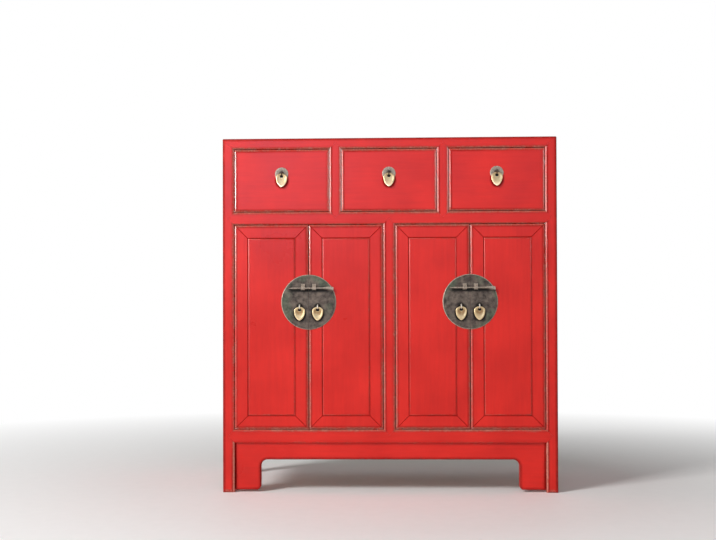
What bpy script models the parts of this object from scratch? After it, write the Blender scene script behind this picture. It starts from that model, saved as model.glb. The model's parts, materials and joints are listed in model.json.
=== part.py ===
"""Red lacquered chest: three drawers over two pairs of pivot-hung doors, with round brass lock plates.

Metres, +Z up, front towards -Y. The origin is on the floor, under the middle of the outline.
"""
import math

import bmesh
import bpy
from mathutils import Vector

# Case
CASE_WIDTH = 0.900
CASE_DEPTH = 0.400
CASE_HEIGHT = 0.955
POST_WIDTH = 0.031
POST_DEPTH = 0.034
TOP_RAIL_HEIGHT = 0.0285
DRAWER_RAIL_HEIGHT = 0.0335
BOTTOM_RAIL_HEIGHT = 0.0355
LEG_HEIGHT = 0.1335
DRAWER_OPENING_HEIGHT = 0.171
DIVIDER_WIDTH = 0.031
STILE_WIDTH = 0.031
FOOT_CHAMFER = 0.0015

# Apron with bracket feet
APRON_HEIGHT = 0.046
APRON_THICKNESS = 0.016
APRON_RECESS = 0.008
BRACKET_WIDTH = 0.071
BRACKET_FLOOR_GAP = 0.006
APRON_END_GAP = 0.003
APRON_CORNER_RADIUS = 0.013
BRACKET_TOE_RADIUS = 0.012
APRON_ROUND = 0.003

# Panels and boards of the case
TOP_PANEL_THICKNESS = 0.014
TOP_TONGUE_THICKNESS = 0.005
TOP_TONGUE_DEPTH = 0.004
SIDE_PANEL_THICKNESS = 0.010
SIDE_PANEL_RECESS = 0.004
BACK_PANEL_THICKNESS = 0.008
BACK_PANEL_RECESS = 0.008
TONGUE = 0.006
DADO = 0.004
FLOOR_THICKNESS = 0.012
FLOOR_DROP = 0.006
SHELF_THICKNESS = 0.016
SHELF_RISE = 0.270
SHELF_ROUND = 0.002
DECK_THICKNESS = 0.010
GUIDE_HEIGHT = 0.010

# Drawers
DRAWER_BACK_CLEARANCE = 0.033
DRAWER_HEADROOM = 0.036
DRAWER_FRONT_THICKNESS = 0.018
DRAWER_SIDE_THICKNESS = 0.010
DRAWER_BACK_THICKNESS = 0.010
DRAWER_SIDE_CLEARANCE = 0.001
DRAWER_BOTTOM_THICKNESS = 0.005
DRAWER_BOTTOM_RISE = 0.006
DRAWER_GROOVE = 0.004

# Doors
DOOR_THICKNESS = 0.018
DOOR_MEMBER_WIDTH = 0.036
DOOR_REBATE_WIDTH = 0.006
DOOR_REBATE_DEPTH = 0.009
DOOR_PANEL_SETBACK = 0.002
DOOR_BACK_CHAMFER = 0.001
PANEL_LINE = 0.0012
MITRE_LINE = 0.0007
PIVOT_RADIUS = 0.004
PIVOT_LENGTH = 0.010
PIVOT_ROOT = 0.005
PIVOT_FROM_EDGE = 0.011
PIVOT_FROM_FACE = 0.007

# Lock plates and pins
PLATE_RADIUS = 0.0742
PLATE_THICKNESS = 0.0015
PLATE_RIM = 0.0008
PLATE_ABOVE_DOOR_MIDDLE = 0.0665
PIN_ABOVE_PLATE_MIDDLE = 0.037
PIN_RADIUS = 0.0026
PIN_STANDOFF = 0.0054
PIN_TIP_REACH = 0.055
PIN_TIP_TAPER = 0.012
PIN_TIP_RADIUS = 0.0006
PIN_HEAD_REACH = 0.067
PIN_HEAD_LENGTH = 0.026
PIN_HEAD_HEIGHT = 0.0135
PIN_HEAD_THICKNESS = 0.0026
PIN_HEAD_DROOP = 0.0035
STAPLE_FROM_GAP = 0.015
STAPLE_WIDTH = 0.0105
STAPLE_WALL = 0.0016
STAPLE_HEAD_RISE = 0.013
STAPLE_SHOULDER = 120

# Drop pulls
EYE_RADIUS = 0.0052
EYE_WIRE_RADIUS = 0.0014
EYE_STANDOFF = 0.0032
EYE_FOOT = 0.0006
EYE_FROM_GAP = 0.0244
EYE_BELOW_PLATE_MIDDLE = 0.0125
DROP_WIDTH = 0.0296
DROP_LENGTH = 0.0375
DROP_SHOULDER = 0.0115
DROP_TAPER = 2.3
DROP_BLUNTNESS = 0.75
DROP_THICKNESS = 0.0016
DROP_EDGE = 0.0005
DROP_RIM = 0.0032
DROP_DISH = 0.0006
BACKPLATE_RADIUS = 0.018
BACKPLATE_THICKNESS = 0.0012
BACKPLATE_RIM = 0.0006
BACKPLATE_ABOVE_DRAWER_MIDDLE = 0.0175
EYE_ABOVE_BACKPLATE_MIDDLE = 0.0015

# Clearances
JOINT_GAP = 0.0003
FRONT_GAP = 0.0015
DOOR_MEETING_GAP = 0.002
PLATE_MEETING_GAP = 0.0004
FACE_RECESS = 0.001
PIVOT_CLEARANCE = 0.0003
PIN_CLEARANCE = 0.0004
PIN_PARTING = 0.0006
EYE_CLEARANCE = 0.0007

# Rounding
FRAME_ROUND = 0.003
LEAF_ROUND = 0.004
ROUND_STEPS = 3
ARC_STEPS = 6
HEAD_STEPS = 4
PLATE_STEPS = 28
ROD_SIDES = 12
EYE_TURNS = 16
EYE_SIDES = 8
SHARP_ANGLE = math.radians(32)

# How near counts as on a plane, along an axis or cut through
ON_PLANE = 0.00003
PARALLEL = 0.999
CUT_SNAP = 1e-7

# Levels and lines that follow from the sizes
HARDWARE_REACH = JOINT_GAP + PLATE_THICKNESS + PIN_STANDOFF + PIN_RADIUS + PIN_CLEARANCE + STAPLE_WALL
FRONT = (HARDWARE_REACH - FACE_RECESS - CASE_DEPTH) / 2
BACK = FRONT + CASE_DEPTH
LEAF_FACE = FRONT + FACE_RECESS
SIDE = CASE_WIDTH / 2
POST_INNER = SIDE - POST_WIDTH
POST_BACK = FRONT + POST_DEPTH
REAR_POST_FRONT = BACK - POST_DEPTH
SIDE_PANEL_INNER = SIDE - SIDE_PANEL_RECESS - SIDE_PANEL_THICKNESS
TOP_RAIL_UNDER = CASE_HEIGHT - TOP_RAIL_HEIGHT
DRAWER_SILL = TOP_RAIL_UNDER - DRAWER_OPENING_HEIGHT
DRAWER_RAIL_UNDER = DRAWER_SILL - DRAWER_RAIL_HEIGHT
DOOR_SILL = LEG_HEIGHT + BOTTOM_RAIL_HEIGHT
DRAWER_OPENING_WIDTH = (2 * POST_INNER - 2 * DIVIDER_WIDTH) / 3
DRAWER_PITCH = DRAWER_OPENING_WIDTH + DIVIDER_WIDTH
DIVIDER_FROM_MIDDLE = DRAWER_PITCH / 2
DOOR_PAIR_MIDDLE = (POST_INNER + STILE_WIDTH / 2) / 2
DOOR_WIDTH = (POST_INNER - STILE_WIDTH / 2 - 2 * FRONT_GAP - DOOR_MEETING_GAP) / 2
DOOR_HEIGHT = DRAWER_RAIL_UNDER - DOOR_SILL - 2 * FRONT_GAP
DOOR_MIDDLE = (DRAWER_RAIL_UNDER + DOOR_SILL) / 2
DRAWER_MIDDLE = (TOP_RAIL_UNDER + DRAWER_SILL) / 2
BACK_PANEL_FACE = BACK - BACK_PANEL_RECESS
BACK_PANEL_FRONT = BACK_PANEL_FACE - BACK_PANEL_THICKNESS
DRAWER_LENGTH = BACK_PANEL_FRONT - LEAF_FACE - DRAWER_BACK_CLEARANCE
DRAWER_SIDE_HEIGHT = DRAWER_OPENING_HEIGHT - DRAWER_HEADROOM
PLATE_FACE = LEAF_FACE - JOINT_GAP - PLATE_THICKNESS
PIN_LINE = PLATE_FACE - PIN_STANDOFF
PIN_LEVEL = DOOR_MIDDLE + PLATE_ABOVE_DOOR_MIDDLE + PIN_ABOVE_PLATE_MIDDLE
MITRE_SETBACK = JOINT_GAP / math.sqrt(2)
POINT_SETBACK = JOINT_GAP * math.sqrt(2)
STAPLE_BORE = PIN_RADIUS + PIN_CLEARANCE
HANDS = (("left", -1), ("right", 1))
DRAWER_COLUMNS = (("left", -1), ("middle", 0), ("right", 1))
DOOR_NAMES = ("outer_left", "inner_left", "inner_right", "outer_right")


def clear_scene():
    for old in list(bpy.data.objects):
        bpy.data.objects.remove(old, do_unlink=True)


def make_finish(name, colour, roughness, metallic):
    finish = bpy.data.materials.new(name)
    finish.use_nodes = True
    shader = finish.node_tree.nodes["Principled BSDF"]
    shader.inputs["Base Color"].default_value = (*colour, 1.0)
    shader.inputs["Roughness"].default_value = roughness
    shader.inputs["Metallic"].default_value = metallic
    return finish


def add_piece(name, shape, finish, place=(0, 0, 0), parent=None):
    """Turn a bmesh into a named object, placed under its parent."""
    bmesh.ops.recalc_face_normals(shape, faces=shape.faces)
    mesh = bpy.data.meshes.new(name)
    shape.to_mesh(mesh)
    shape.free()
    mesh.materials.append(finish)
    mesh.shade_smooth()
    mesh.set_sharp_from_angle(angle=SHARP_ANGLE)
    piece = bpy.data.objects.new(name, mesh)
    piece.location = place
    piece.parent = parent
    bpy.context.scene.collection.objects.link(piece)
    return piece


def add_pivot(name, place, parent=None):
    """An empty on a joint's axis, which carries the pieces that move with it."""
    pivot = bpy.data.objects.new(name, None)
    pivot.location = place
    pivot.parent = parent
    bpy.context.scene.collection.objects.link(pivot)
    return pivot


def combine(piece, operand, operation):
    """Cut an operand from a piece or join it on, and keep the operand as a hidden guide."""
    step = piece.modifiers.new(operand.name, "BOOLEAN")
    step.operation = operation
    step.solver = "EXACT"
    step.object = operand
    operand.hide_render = True
    operand.display_type = "WIRE"


def prism(outline, axis, start, end):
    """A flat outline pushed along an axis; its pairs are the other two axes in X, Y, Z order."""
    shape = bmesh.new()
    index = "XYZ".index(axis)

    def ring_at(along):
        ring = []
        for pair in outline:
            spot = list(pair)
            spot.insert(index, along)
            ring.append(shape.verts.new(spot))
        return ring

    skin(shape, [ring_at(start), ring_at(end)])
    bmesh.ops.recalc_face_normals(shape, faces=shape.faces)
    return shape


def skin(shape, loops, ring=False):
    """Join loops of equal length in turn; cap both ends, or close a ring back onto its first loop."""
    pairs = list(zip(loops, loops[1:]))
    if ring:
        pairs.append((loops[-1], loops[0]))
    else:
        shape.faces.new(loops[0])
        shape.faces.new(list(reversed(loops[-1])))
    for near, far in pairs:
        for here in range(len(near)):
            there = (here + 1) % len(near)
            shape.faces.new((near[there], near[here], far[here], far[there]))


def plate(rings):
    """A thin plate that faces -Y, through outlines given as (depth, list of XZ points)."""
    shape = bmesh.new()
    skin(shape, [[shape.verts.new((x, depth, z)) for x, z in outline] for depth, outline in rings])
    return shape


def block(low, high):
    outline = ((low[0], low[1]), (high[0], low[1]), (high[0], high[1]), (low[0], high[1]))
    return prism(outline, "Z", low[2], high[2])


def arc(centre, radius, start, end, steps=ARC_STEPS):
    """Points of an arc between two angles in degrees, both ends included."""
    points = []
    for step in range(steps + 1):
        angle = math.radians(start + (end - start) * step / steps)
        points.append((centre[0] + radius * math.cos(angle), centre[1] + radius * math.sin(angle)))
    return points


def circle(centre, radius, sides):
    return arc(centre, radius, 0, 360, sides)[:-1]


def round_edge(radius):
    """Inset and depth of a quarter-round edge, from a front face out to the side."""
    profile = []
    for step in range(ROUND_STEPS + 1):
        angle = math.radians(90 * step / ROUND_STEPS)
        profile.append((radius * (1 - math.sin(angle)), radius * (1 - math.cos(angle))))
    return profile


def corner_spots(half_x, half_z, line):
    """Outline of a rectangle; a line above 0 gives each corner a spot on either side of its mitre."""
    spots = []
    for sign_x, sign_z in ((-1, -1), (1, -1), (1, 1), (-1, 1)):
        x = sign_x * half_x
        z = sign_z * half_z
        beside = [(x, z - sign_z * line), (x - sign_x * line, z)]
        if sign_x == sign_z:
            spots += [(*beside[0], False), (x, z, True), (*beside[1], False)]
        else:
            spots += [(*beside[1], False), (x, z, True), (*beside[0], False)]
    if line:
        return spots
    return [spot for spot in spots if spot[2]]


def framed_solid(width, height, profile, ring=False, line=0.0):
    """Sweep a section of (inset, depth) pairs round a rectangle in XZ, with mitred corners.

    The front faces -Y. A ring is a frame with an open middle. A line sinks a groove at each mitre.
    """
    shape = bmesh.new()
    loops = []
    for inset, depth in profile:
        sink = line if depth < line else 0.0
        spots = corner_spots(width / 2 - inset, height / 2 - inset, line)
        loops.append([shape.verts.new((x, depth + sink * on_mitre, z)) for x, z, on_mitre in spots])
    skin(shape, loops, ring)
    return shape


def lofted(sections):
    """Skin oval sections along X, each (x, z, half height, half thickness)."""
    shape = bmesh.new()
    loops = []
    for x, z, half_height, half_thickness in sections:
        loop = []
        for up, out in circle((0, 0), 1.0, ROD_SIDES):
            loop.append(shape.verts.new((x, half_thickness * out, z + half_height * up)))
        loops.append(loop)
    skin(shape, loops)
    return shape


def rods(radius, start, end, spots):
    """Upright round rods between two heights, one at each (x, y) spot."""
    shape = bmesh.new()
    for spot in spots:
        ring = circle(spot, radius, ROD_SIDES)
        skin(shape, [[shape.verts.new((x, y, height)) for x, y in ring] for height in (start, end)])
    return shape


def wire_ring(radius, wire_radius):
    """A wire ring in the YZ plane, round the X axis."""
    shape = bmesh.new()
    loops = []
    for along, up in circle((0, 0), 1.0, EYE_TURNS):
        loop = []
        for x, out in circle((0, radius), wire_radius, EYE_SIDES):
            loop.append(shape.verts.new((x, out * along, out * up)))
        loops.append(loop)
    skin(shape, loops, ring=True)
    return shape


def ease_edges(shape, edges, width, steps=ROUND_STEPS):
    """Round edges in a few steps, or chamfer them in one."""
    bmesh.ops.bevel(
        shape, geom=edges, offset=width, offset_type="OFFSET", segments=steps,
        profile=0.5, affect="EDGES", clamp_overlap=True,
    )


def edges_on(shape, axis, level, along):
    """Edges that lie on a plane across one axis and run along another."""
    across = "XYZ".index(axis)
    run = "XYZ".index(along)
    found = []
    for edge in shape.edges:
        spots = [vert.co for vert in edge.verts]
        on_plane = all(abs(spot[across] - level) < ON_PLANE for spot in spots)
        direction = (spots[1] - spots[0]).normalized()
        if on_plane and abs(direction[run]) > PARALLEL:
            found.append(edge)
    return found


def trim(shape, point, normal):
    """Cut away what lies on the normal's side of a plane, and close the cut."""
    everything = shape.verts[:] + shape.edges[:] + shape.faces[:]
    bmesh.ops.bisect_plane(
        shape, geom=everything, dist=CUT_SNAP, plane_co=point, plane_no=normal, clear_outer=True
    )
    rim = [edge for edge in shape.edges if edge.is_boundary]
    bmesh.ops.holes_fill(shape, edges=rim)


def mitre_corner(shape, hand, end, member):
    """Trim a top-frame member to its share of a three-way mitre; member is its own axis, 0 to 2."""
    inward = (-hand, -end, -1)
    size = (POST_WIDTH, POST_DEPTH, TOP_RAIL_HEIGHT)
    tip = Vector((hand * SIDE, FRONT if end < 0 else BACK, CASE_HEIGHT))
    tip[member] += inward[member] * MITRE_SETBACK
    for other in {0, 1, 2} - {member}:
        normal = Vector((0, 0, 0))
        normal[member] = -inward[member] / size[member]
        normal[other] = inward[other] / size[other]
        trim(shape, tip, normal)


def house(name, low, high, members):
    """Cut the seat of a board into the members that hold it, a joint gap larger all round."""
    grow = Vector((JOINT_GAP, JOINT_GAP, JOINT_GAP))
    seat = add_piece("seat_" + name, block(Vector(low) - grow, Vector(high) + grow), WOOD)
    for member in members:
        combine(member, seat, "DIFFERENCE")


def notch_up(middle, width, level):
    """A mitred notch in a rail's lower edge, for the point of an upright."""
    return [(middle - width / 2, level), (middle, level + width / 2), (middle + width / 2, level)]


def notch_down(middle, width, level):
    """A mitred notch in a rail's upper edge, written from right to left."""
    return [(middle + width / 2, level), (middle, level - width / 2), (middle - width / 2, level)]


def build_front_post(name, hand):
    inner = hand * POST_INNER
    outline = [(hand * SIDE, 0), (inner, 0)]
    for low, high in ((LEG_HEIGHT, DOOR_SILL), (DRAWER_RAIL_UNDER, DRAWER_SILL)):
        outline += [(inner, low), (inner + hand * (high - low) / 2, (low + high) / 2), (inner, high)]
    outline += [(inner, CASE_HEIGHT), (hand * SIDE, CASE_HEIGHT)]
    shape = prism(outline, "Y", FRONT, POST_BACK)
    ease_edges(shape, edges_on(shape, "Y", FRONT, "Z"), FRAME_ROUND)
    chamfer_foot(shape)
    mitre_corner(shape, hand, -1, 2)
    return add_piece(name, shape, LACQUER)


def build_rear_post(name, hand):
    low = (min(hand * SIDE, hand * POST_INNER), REAR_POST_FRONT, 0)
    high = (max(hand * SIDE, hand * POST_INNER), BACK, CASE_HEIGHT)
    shape = block(low, high)
    ease_edges(shape, edges_on(shape, "Y", BACK, "Z"), FRAME_ROUND)
    chamfer_foot(shape)
    mitre_corner(shape, hand, 1, 2)
    return add_piece(name, shape, LACQUER)


def chamfer_foot(shape):
    rim = [edge for edge in shape.edges if all(vert.co.z < ON_PLANE for vert in edge.verts)]
    ease_edges(shape, rim, FOOT_CHAMFER, steps=1)


def build_front_top_rail():
    outline = [(-SIDE, TOP_RAIL_UNDER)]
    for _, hand in HANDS:
        outline += notch_up(hand * DIVIDER_FROM_MIDDLE, DIVIDER_WIDTH, TOP_RAIL_UNDER)
    outline += [(SIDE, TOP_RAIL_UNDER), (SIDE, CASE_HEIGHT), (-SIDE, CASE_HEIGHT)]
    shape = prism(outline, "Y", FRONT, POST_BACK)
    ease_edges(shape, edges_on(shape, "Y", FRONT, "X"), FRAME_ROUND)
    for _, hand in HANDS:
        mitre_corner(shape, hand, -1, 0)
    return add_piece("top_rail_front", shape, LACQUER)


def build_rear_top_rail():
    shape = block((-SIDE, REAR_POST_FRONT, TOP_RAIL_UNDER), (SIDE, BACK, CASE_HEIGHT))
    ease_edges(shape, edges_on(shape, "Y", BACK, "X"), FRAME_ROUND)
    for _, hand in HANDS:
        mitre_corner(shape, hand, 1, 0)
    return add_piece("top_rail_rear", shape, LACQUER)


def build_side_top_rail(name, hand):
    low = (min(hand * SIDE, hand * POST_INNER), FRONT, TOP_RAIL_UNDER)
    high = (max(hand * SIDE, hand * POST_INNER), BACK, CASE_HEIGHT)
    shape = block(low, high)
    ease_edges(shape, edges_on(shape, "X", hand * SIDE, "Y"), FRAME_ROUND)
    for end in (-1, 1):
        mitre_corner(shape, hand, end, 1)
    return add_piece(name, shape, LACQUER)


def pointed_rail(low, high, notches_above, notches_below):
    """A front rail whose pointed ends and notches meet its neighbours on 45 degree shoulders."""
    end = POST_INNER - POINT_SETBACK
    point = end + (high - low) / 2
    middle = (low + high) / 2
    outline = [(-end, low)]
    for spot, width in notches_below:
        outline += notch_up(spot, width, low)
    outline += [(end, low), (point, middle), (end, high)]
    for spot, width in reversed(notches_above):
        outline += notch_down(spot, width, high)
    outline += [(-end, high), (-point, middle)]
    shape = prism(outline, "Y", FRONT, POST_BACK)
    ease_edges(shape, edges_on(shape, "Y", FRONT, "X"), FRAME_ROUND)
    return shape


def pointed_upright(width, low, high):
    """A divider or stile between two rails, with a point at each end."""
    half = width / 2
    foot = low + POINT_SETBACK
    head = high - POINT_SETBACK
    right = [(0, foot - half), (half, foot), (half, head), (0, head + half)]
    outline = right + [(-half, head), (-half, foot)]
    shape = prism(outline, "Y", FRONT, POST_BACK)
    ease_edges(shape, edges_on(shape, "Y", FRONT, "Z"), FRAME_ROUND)
    return shape


def build_front_rails():
    """The rails and uprights between the front posts, by name."""
    dividers = [(hand * DIVIDER_FROM_MIDDLE, DIVIDER_WIDTH) for _, hand in HANDS]
    stile = [(0.0, STILE_WIDTH)]
    shapes = {
        "drawer_rail": pointed_rail(DRAWER_RAIL_UNDER, DRAWER_SILL, dividers, stile),
        "bottom_rail_front": pointed_rail(LEG_HEIGHT, DOOR_SILL, stile, []),
        "centre_stile": pointed_upright(STILE_WIDTH, DOOR_SILL, DRAWER_RAIL_UNDER),
    }
    fronts = {name: add_piece(name, shape, LACQUER) for name, shape in shapes.items()}
    for hand_name, hand in HANDS:
        name = "drawer_divider_" + hand_name
        shape = pointed_upright(DIVIDER_WIDTH, DRAWER_SILL, TOP_RAIL_UNDER)
        fronts[name] = add_piece(name, shape, LACQUER, (hand * DIVIDER_FROM_MIDDLE, 0, 0))

    spots = [(spot, LEAF_FACE + PIVOT_FROM_FACE) for spot, _ in door_axes()]
    depth = PIVOT_LENGTH + PIVOT_CLEARANCE - FRONT_GAP
    for name, start, end in (
        ("drawer_rail", DRAWER_RAIL_UNDER - FRONT_GAP, DRAWER_RAIL_UNDER + depth),
        ("bottom_rail_front", DOOR_SILL - depth, DOOR_SILL + FRONT_GAP),
    ):
        holes = rods(PIVOT_RADIUS + PIVOT_CLEARANCE, start, end, spots)
        combine(fronts[name], add_piece("pivot_holes_" + name, holes, WOOD), "DIFFERENCE")
    return fronts


def build_apron():
    """The apron runs down into a bracket foot beside each post, with rounded inner corners."""
    end = POST_INNER - APRON_END_GAP
    inner = POST_INNER - BRACKET_WIDTH
    top = LEG_HEIGHT - JOINT_GAP
    under = LEG_HEIGHT - APRON_HEIGHT
    crook = APRON_CORNER_RADIUS
    toe = BRACKET_TOE_RADIUS
    right = [(end, BRACKET_FLOOR_GAP), (end, top)]
    half = arc((inner - crook, under - crook), crook, 90, 0)
    half += arc((inner + toe, BRACKET_FLOOR_GAP + toe), toe, 180, 270)
    outline = half + right
    outline += [(-x, z) for x, z in reversed(outline)]
    face = FRONT + APRON_RECESS
    shape = prism(outline, "Y", face, face + APRON_THICKNESS)
    front_rim = []
    for edge in shape.edges:
        spots = [vert.co for vert in edge.verts]
        on_front = all(abs(spot.y - face) < ON_PLANE for spot in spots)
        on_top = all(abs(spot.z - top) < ON_PLANE for spot in spots)
        if on_front and not on_top:
            front_rim.append(edge)
    ease_edges(shape, front_rim, APRON_ROUND)
    add_piece("front_apron", shape, LACQUER)


def build_top_panel(members):
    width = 2 * (POST_INNER - JOINT_GAP)
    depth = CASE_DEPTH - 2 * (POST_DEPTH + JOINT_GAP)
    shoulder = TOP_TONGUE_DEPTH
    tongue_end = shoulder + TOP_TONGUE_THICKNESS
    reach = TONGUE - JOINT_GAP
    profile = [
        (PANEL_LINE, 0), (0, PANEL_LINE), (0, shoulder), (-reach, shoulder),
        (-reach, tongue_end), (0, tongue_end), (0, TOP_PANEL_THICKNESS),
    ]
    shape = framed_solid(width, depth, profile)
    panel = add_piece("top_panel", shape, LACQUER, (0, (FRONT + BACK) / 2, CASE_HEIGHT))
    panel.rotation_euler = (-math.pi / 2, 0, 0)
    x = POST_INNER + reach
    low = (-x, POST_BACK - reach, CASE_HEIGHT - tongue_end)
    high = (x, REAR_POST_FRONT + reach, CASE_HEIGHT - shoulder)
    house("top_panel", low, high, members)


def build_walls(posts, top_rails, fronts):
    """Side and bottom rails, the panels in their grooves, and the boards that lie between them."""
    side_panels = []
    for name, hand in HANDS:
        near, far = sorted((hand * SIDE, hand * POST_INNER))
        shape = block(
            (near, POST_BACK + JOINT_GAP, LEG_HEIGHT), (far, REAR_POST_FRONT - JOINT_GAP, DOOR_SILL)
        )
        ease_edges(shape, edges_on(shape, "X", hand * SIDE, "Y"), FRAME_ROUND)
        rail = add_piece("bottom_rail_" + name, shape, LACQUER)
        near, far = sorted((hand * (SIDE - SIDE_PANEL_RECESS), hand * SIDE_PANEL_INNER))
        low = (near, POST_BACK - TONGUE, DOOR_SILL - TONGUE)
        high = (far, REAR_POST_FRONT + TONGUE, TOP_RAIL_UNDER + TONGUE)
        side_panels.append(add_piece("side_panel_" + name, block(low, high), LACQUER))
        members = [posts["front_" + name], posts["rear_" + name], top_rails[name], rail]
        members += [fronts["drawer_rail"], fronts["bottom_rail_front"]]
        house("side_panel_" + name, low, high, members)

    end = POST_INNER - JOINT_GAP
    shape = block((-end, REAR_POST_FRONT, LEG_HEIGHT), (end, BACK, DOOR_SILL))
    ease_edges(shape, edges_on(shape, "Y", BACK, "X"), FRAME_ROUND)
    rear_rail = add_piece("bottom_rail_rear", shape, LACQUER)
    low = (-POST_INNER - TONGUE, BACK_PANEL_FRONT, DOOR_SILL - TONGUE)
    high = (POST_INNER + TONGUE, BACK_PANEL_FACE, TOP_RAIL_UNDER + TONGUE)
    add_piece("back_panel", block(low, high), WOOD)
    members = (posts["rear_left"], posts["rear_right"], top_rails["rear"], rear_rail)
    house("back_panel", low, high, members)

    floor_top = DOOR_SILL - FLOOR_DROP
    low = (-end, POST_BACK - TONGUE, floor_top - FLOOR_THICKNESS)
    high = (end, REAR_POST_FRONT + TONGUE, floor_top)
    add_piece("floor_board", block(low, high), WOOD)
    house("floor_board", low, high, (fronts["bottom_rail_front"], fronts["centre_stile"], rear_rail))
    build_shelf(side_panels, floor_top + SHELF_RISE)
    build_deck(side_panels)


def build_shelf(side_panels, top):
    end = SIDE_PANEL_INNER + DADO
    low = (-end, POST_BACK + JOINT_GAP, top - SHELF_THICKNESS)
    high = (end, REAR_POST_FRONT - JOINT_GAP, top)
    shape = block(low, high)
    ease_edges(shape, edges_on(shape, "Y", low[1], "X"), SHELF_ROUND)
    add_piece("shelf", shape, WOOD)
    house("shelf", low, high, side_panels)


def build_deck(side_panels):
    """The board under the drawers, with a guide strip beside each drawer."""
    under = DRAWER_SILL - DECK_THICKNESS
    crest = DRAWER_SILL + GUIDE_HEIGHT
    end = SIDE_PANEL_INNER + DADO
    near = POST_BACK + JOINT_GAP
    far = REAR_POST_FRONT - JOINT_GAP
    wall = SIDE_PANEL_INNER - JOINT_GAP
    half = DIVIDER_WIDTH / 2
    strips = [(POST_INNER, wall), (DIVIDER_FROM_MIDDLE - half, DIVIDER_FROM_MIDDLE + half)]
    right = [(end, under), (end, DRAWER_SILL)]
    for inner, outer in strips:
        right += [(outer, DRAWER_SILL), (outer, crest), (inner, crest), (inner, DRAWER_SILL)]
    outline = right + [(-x, z) for x, z in reversed(right)]
    add_piece("drawer_deck", prism(outline, "Y", near, far), WOOD)
    house("drawer_deck", (-end, near, under), (end, far, DRAWER_SILL), side_panels)


def build_drawer(name, middle):
    """A drawer on its slide: lapped front, box of sides and back, bottom board in a groove, and pull."""
    slide = add_pivot("drawer_%s_slide" % name, (middle, LEAF_FACE, DRAWER_SILL))
    width = DRAWER_OPENING_WIDTH - 2 * FRONT_GAP
    height = DRAWER_OPENING_HEIGHT - 2 * FRONT_GAP
    rise = DRAWER_MIDDLE - DRAWER_SILL
    profile = round_edge(LEAF_ROUND) + [(0, DRAWER_FRONT_THICKNESS)]
    shape = framed_solid(width, height, profile)
    front = add_piece("drawer_%s_front" % name, shape, LACQUER, (0, 0, rise), slide)

    outer = DRAWER_OPENING_WIDTH / 2 - DRAWER_SIDE_CLEARANCE
    inner = outer - DRAWER_SIDE_THICKNESS
    near = DRAWER_FRONT_THICKNESS + JOINT_GAP
    far = DRAWER_LENGTH - DRAWER_BACK_THICKNESS
    half = [(inner, far), (inner, near), (outer, near), (outer, DRAWER_LENGTH)]
    outline = half + [(-x, y) for x, y in reversed(half)]
    shape = prism(outline, "Z", JOINT_GAP, DRAWER_SIDE_HEIGHT)
    box = add_piece("drawer_%s_box" % name, shape, WOOD, parent=slide)

    reach = DRAWER_GROOVE
    low = Vector((-inner - reach, DRAWER_FRONT_THICKNESS - reach, DRAWER_BOTTOM_RISE))
    high = Vector((inner + reach, far + reach, DRAWER_BOTTOM_RISE + DRAWER_BOTTOM_THICKNESS))
    add_piece("drawer_%s_bottom" % name, block(low, high), WOOD, parent=slide)
    grow = Vector((JOINT_GAP, JOINT_GAP, JOINT_GAP))
    groove = add_piece("drawer_%s_groove" % name, block(low - grow, high + grow), WOOD, parent=slide)
    combine(front, groove, "DIFFERENCE")
    combine(box, groove, "DIFFERENCE")

    plate_rise = rise + BACKPLATE_ABOVE_DRAWER_MIDDLE
    face = -JOINT_GAP - BACKPLATE_THICKNESS
    outer = circle((0, 0), BACKPLATE_RADIUS, PLATE_STEPS)
    inner = circle((0, 0), BACKPLATE_RADIUS - BACKPLATE_RIM, PLATE_STEPS)
    shape = plate([(0, inner), (BACKPLATE_RIM, outer), (BACKPLATE_THICKNESS, outer)])
    backplate = add_piece("drawer_%s_backplate" % name, shape, DARK_BRASS, (0, face, plate_rise), slide)
    eye = (0, face - EYE_STANDOFF, plate_rise + EYE_ABOVE_BACKPLATE_MIDDLE)
    build_drop("drawer_" + name, eye, backplate, slide)


def drop_outline():
    """A leaf hanging from the origin: a round head, then sides that draw in to a point."""
    half = DROP_WIDTH / 2
    right = []
    for step in range(1, ARC_STEPS + 1):
        angle = math.radians(90 * step / ARC_STEPS)
        right.append((half * math.sin(angle), -DROP_SHOULDER * (1 - math.cos(angle))))
    for step in range(1, ARC_STEPS):
        run = step / ARC_STEPS
        fall = DROP_SHOULDER + (DROP_LENGTH - DROP_SHOULDER) * run
        right.append((half * (1 - run ** DROP_TAPER) ** DROP_BLUNTNESS, -fall))
    return [(0, 0)] + right + [(0, -DROP_LENGTH)] + [(-x, z) for x, z in reversed(right)]


def shrunk(outline, inset):
    """A drop's outline drawn in towards its middle."""
    middle = -DROP_LENGTH / 2
    share = 1 - 2 * inset / DROP_WIDTH
    return [(x * share, middle + (z - middle) * share) for x, z in outline]


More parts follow.
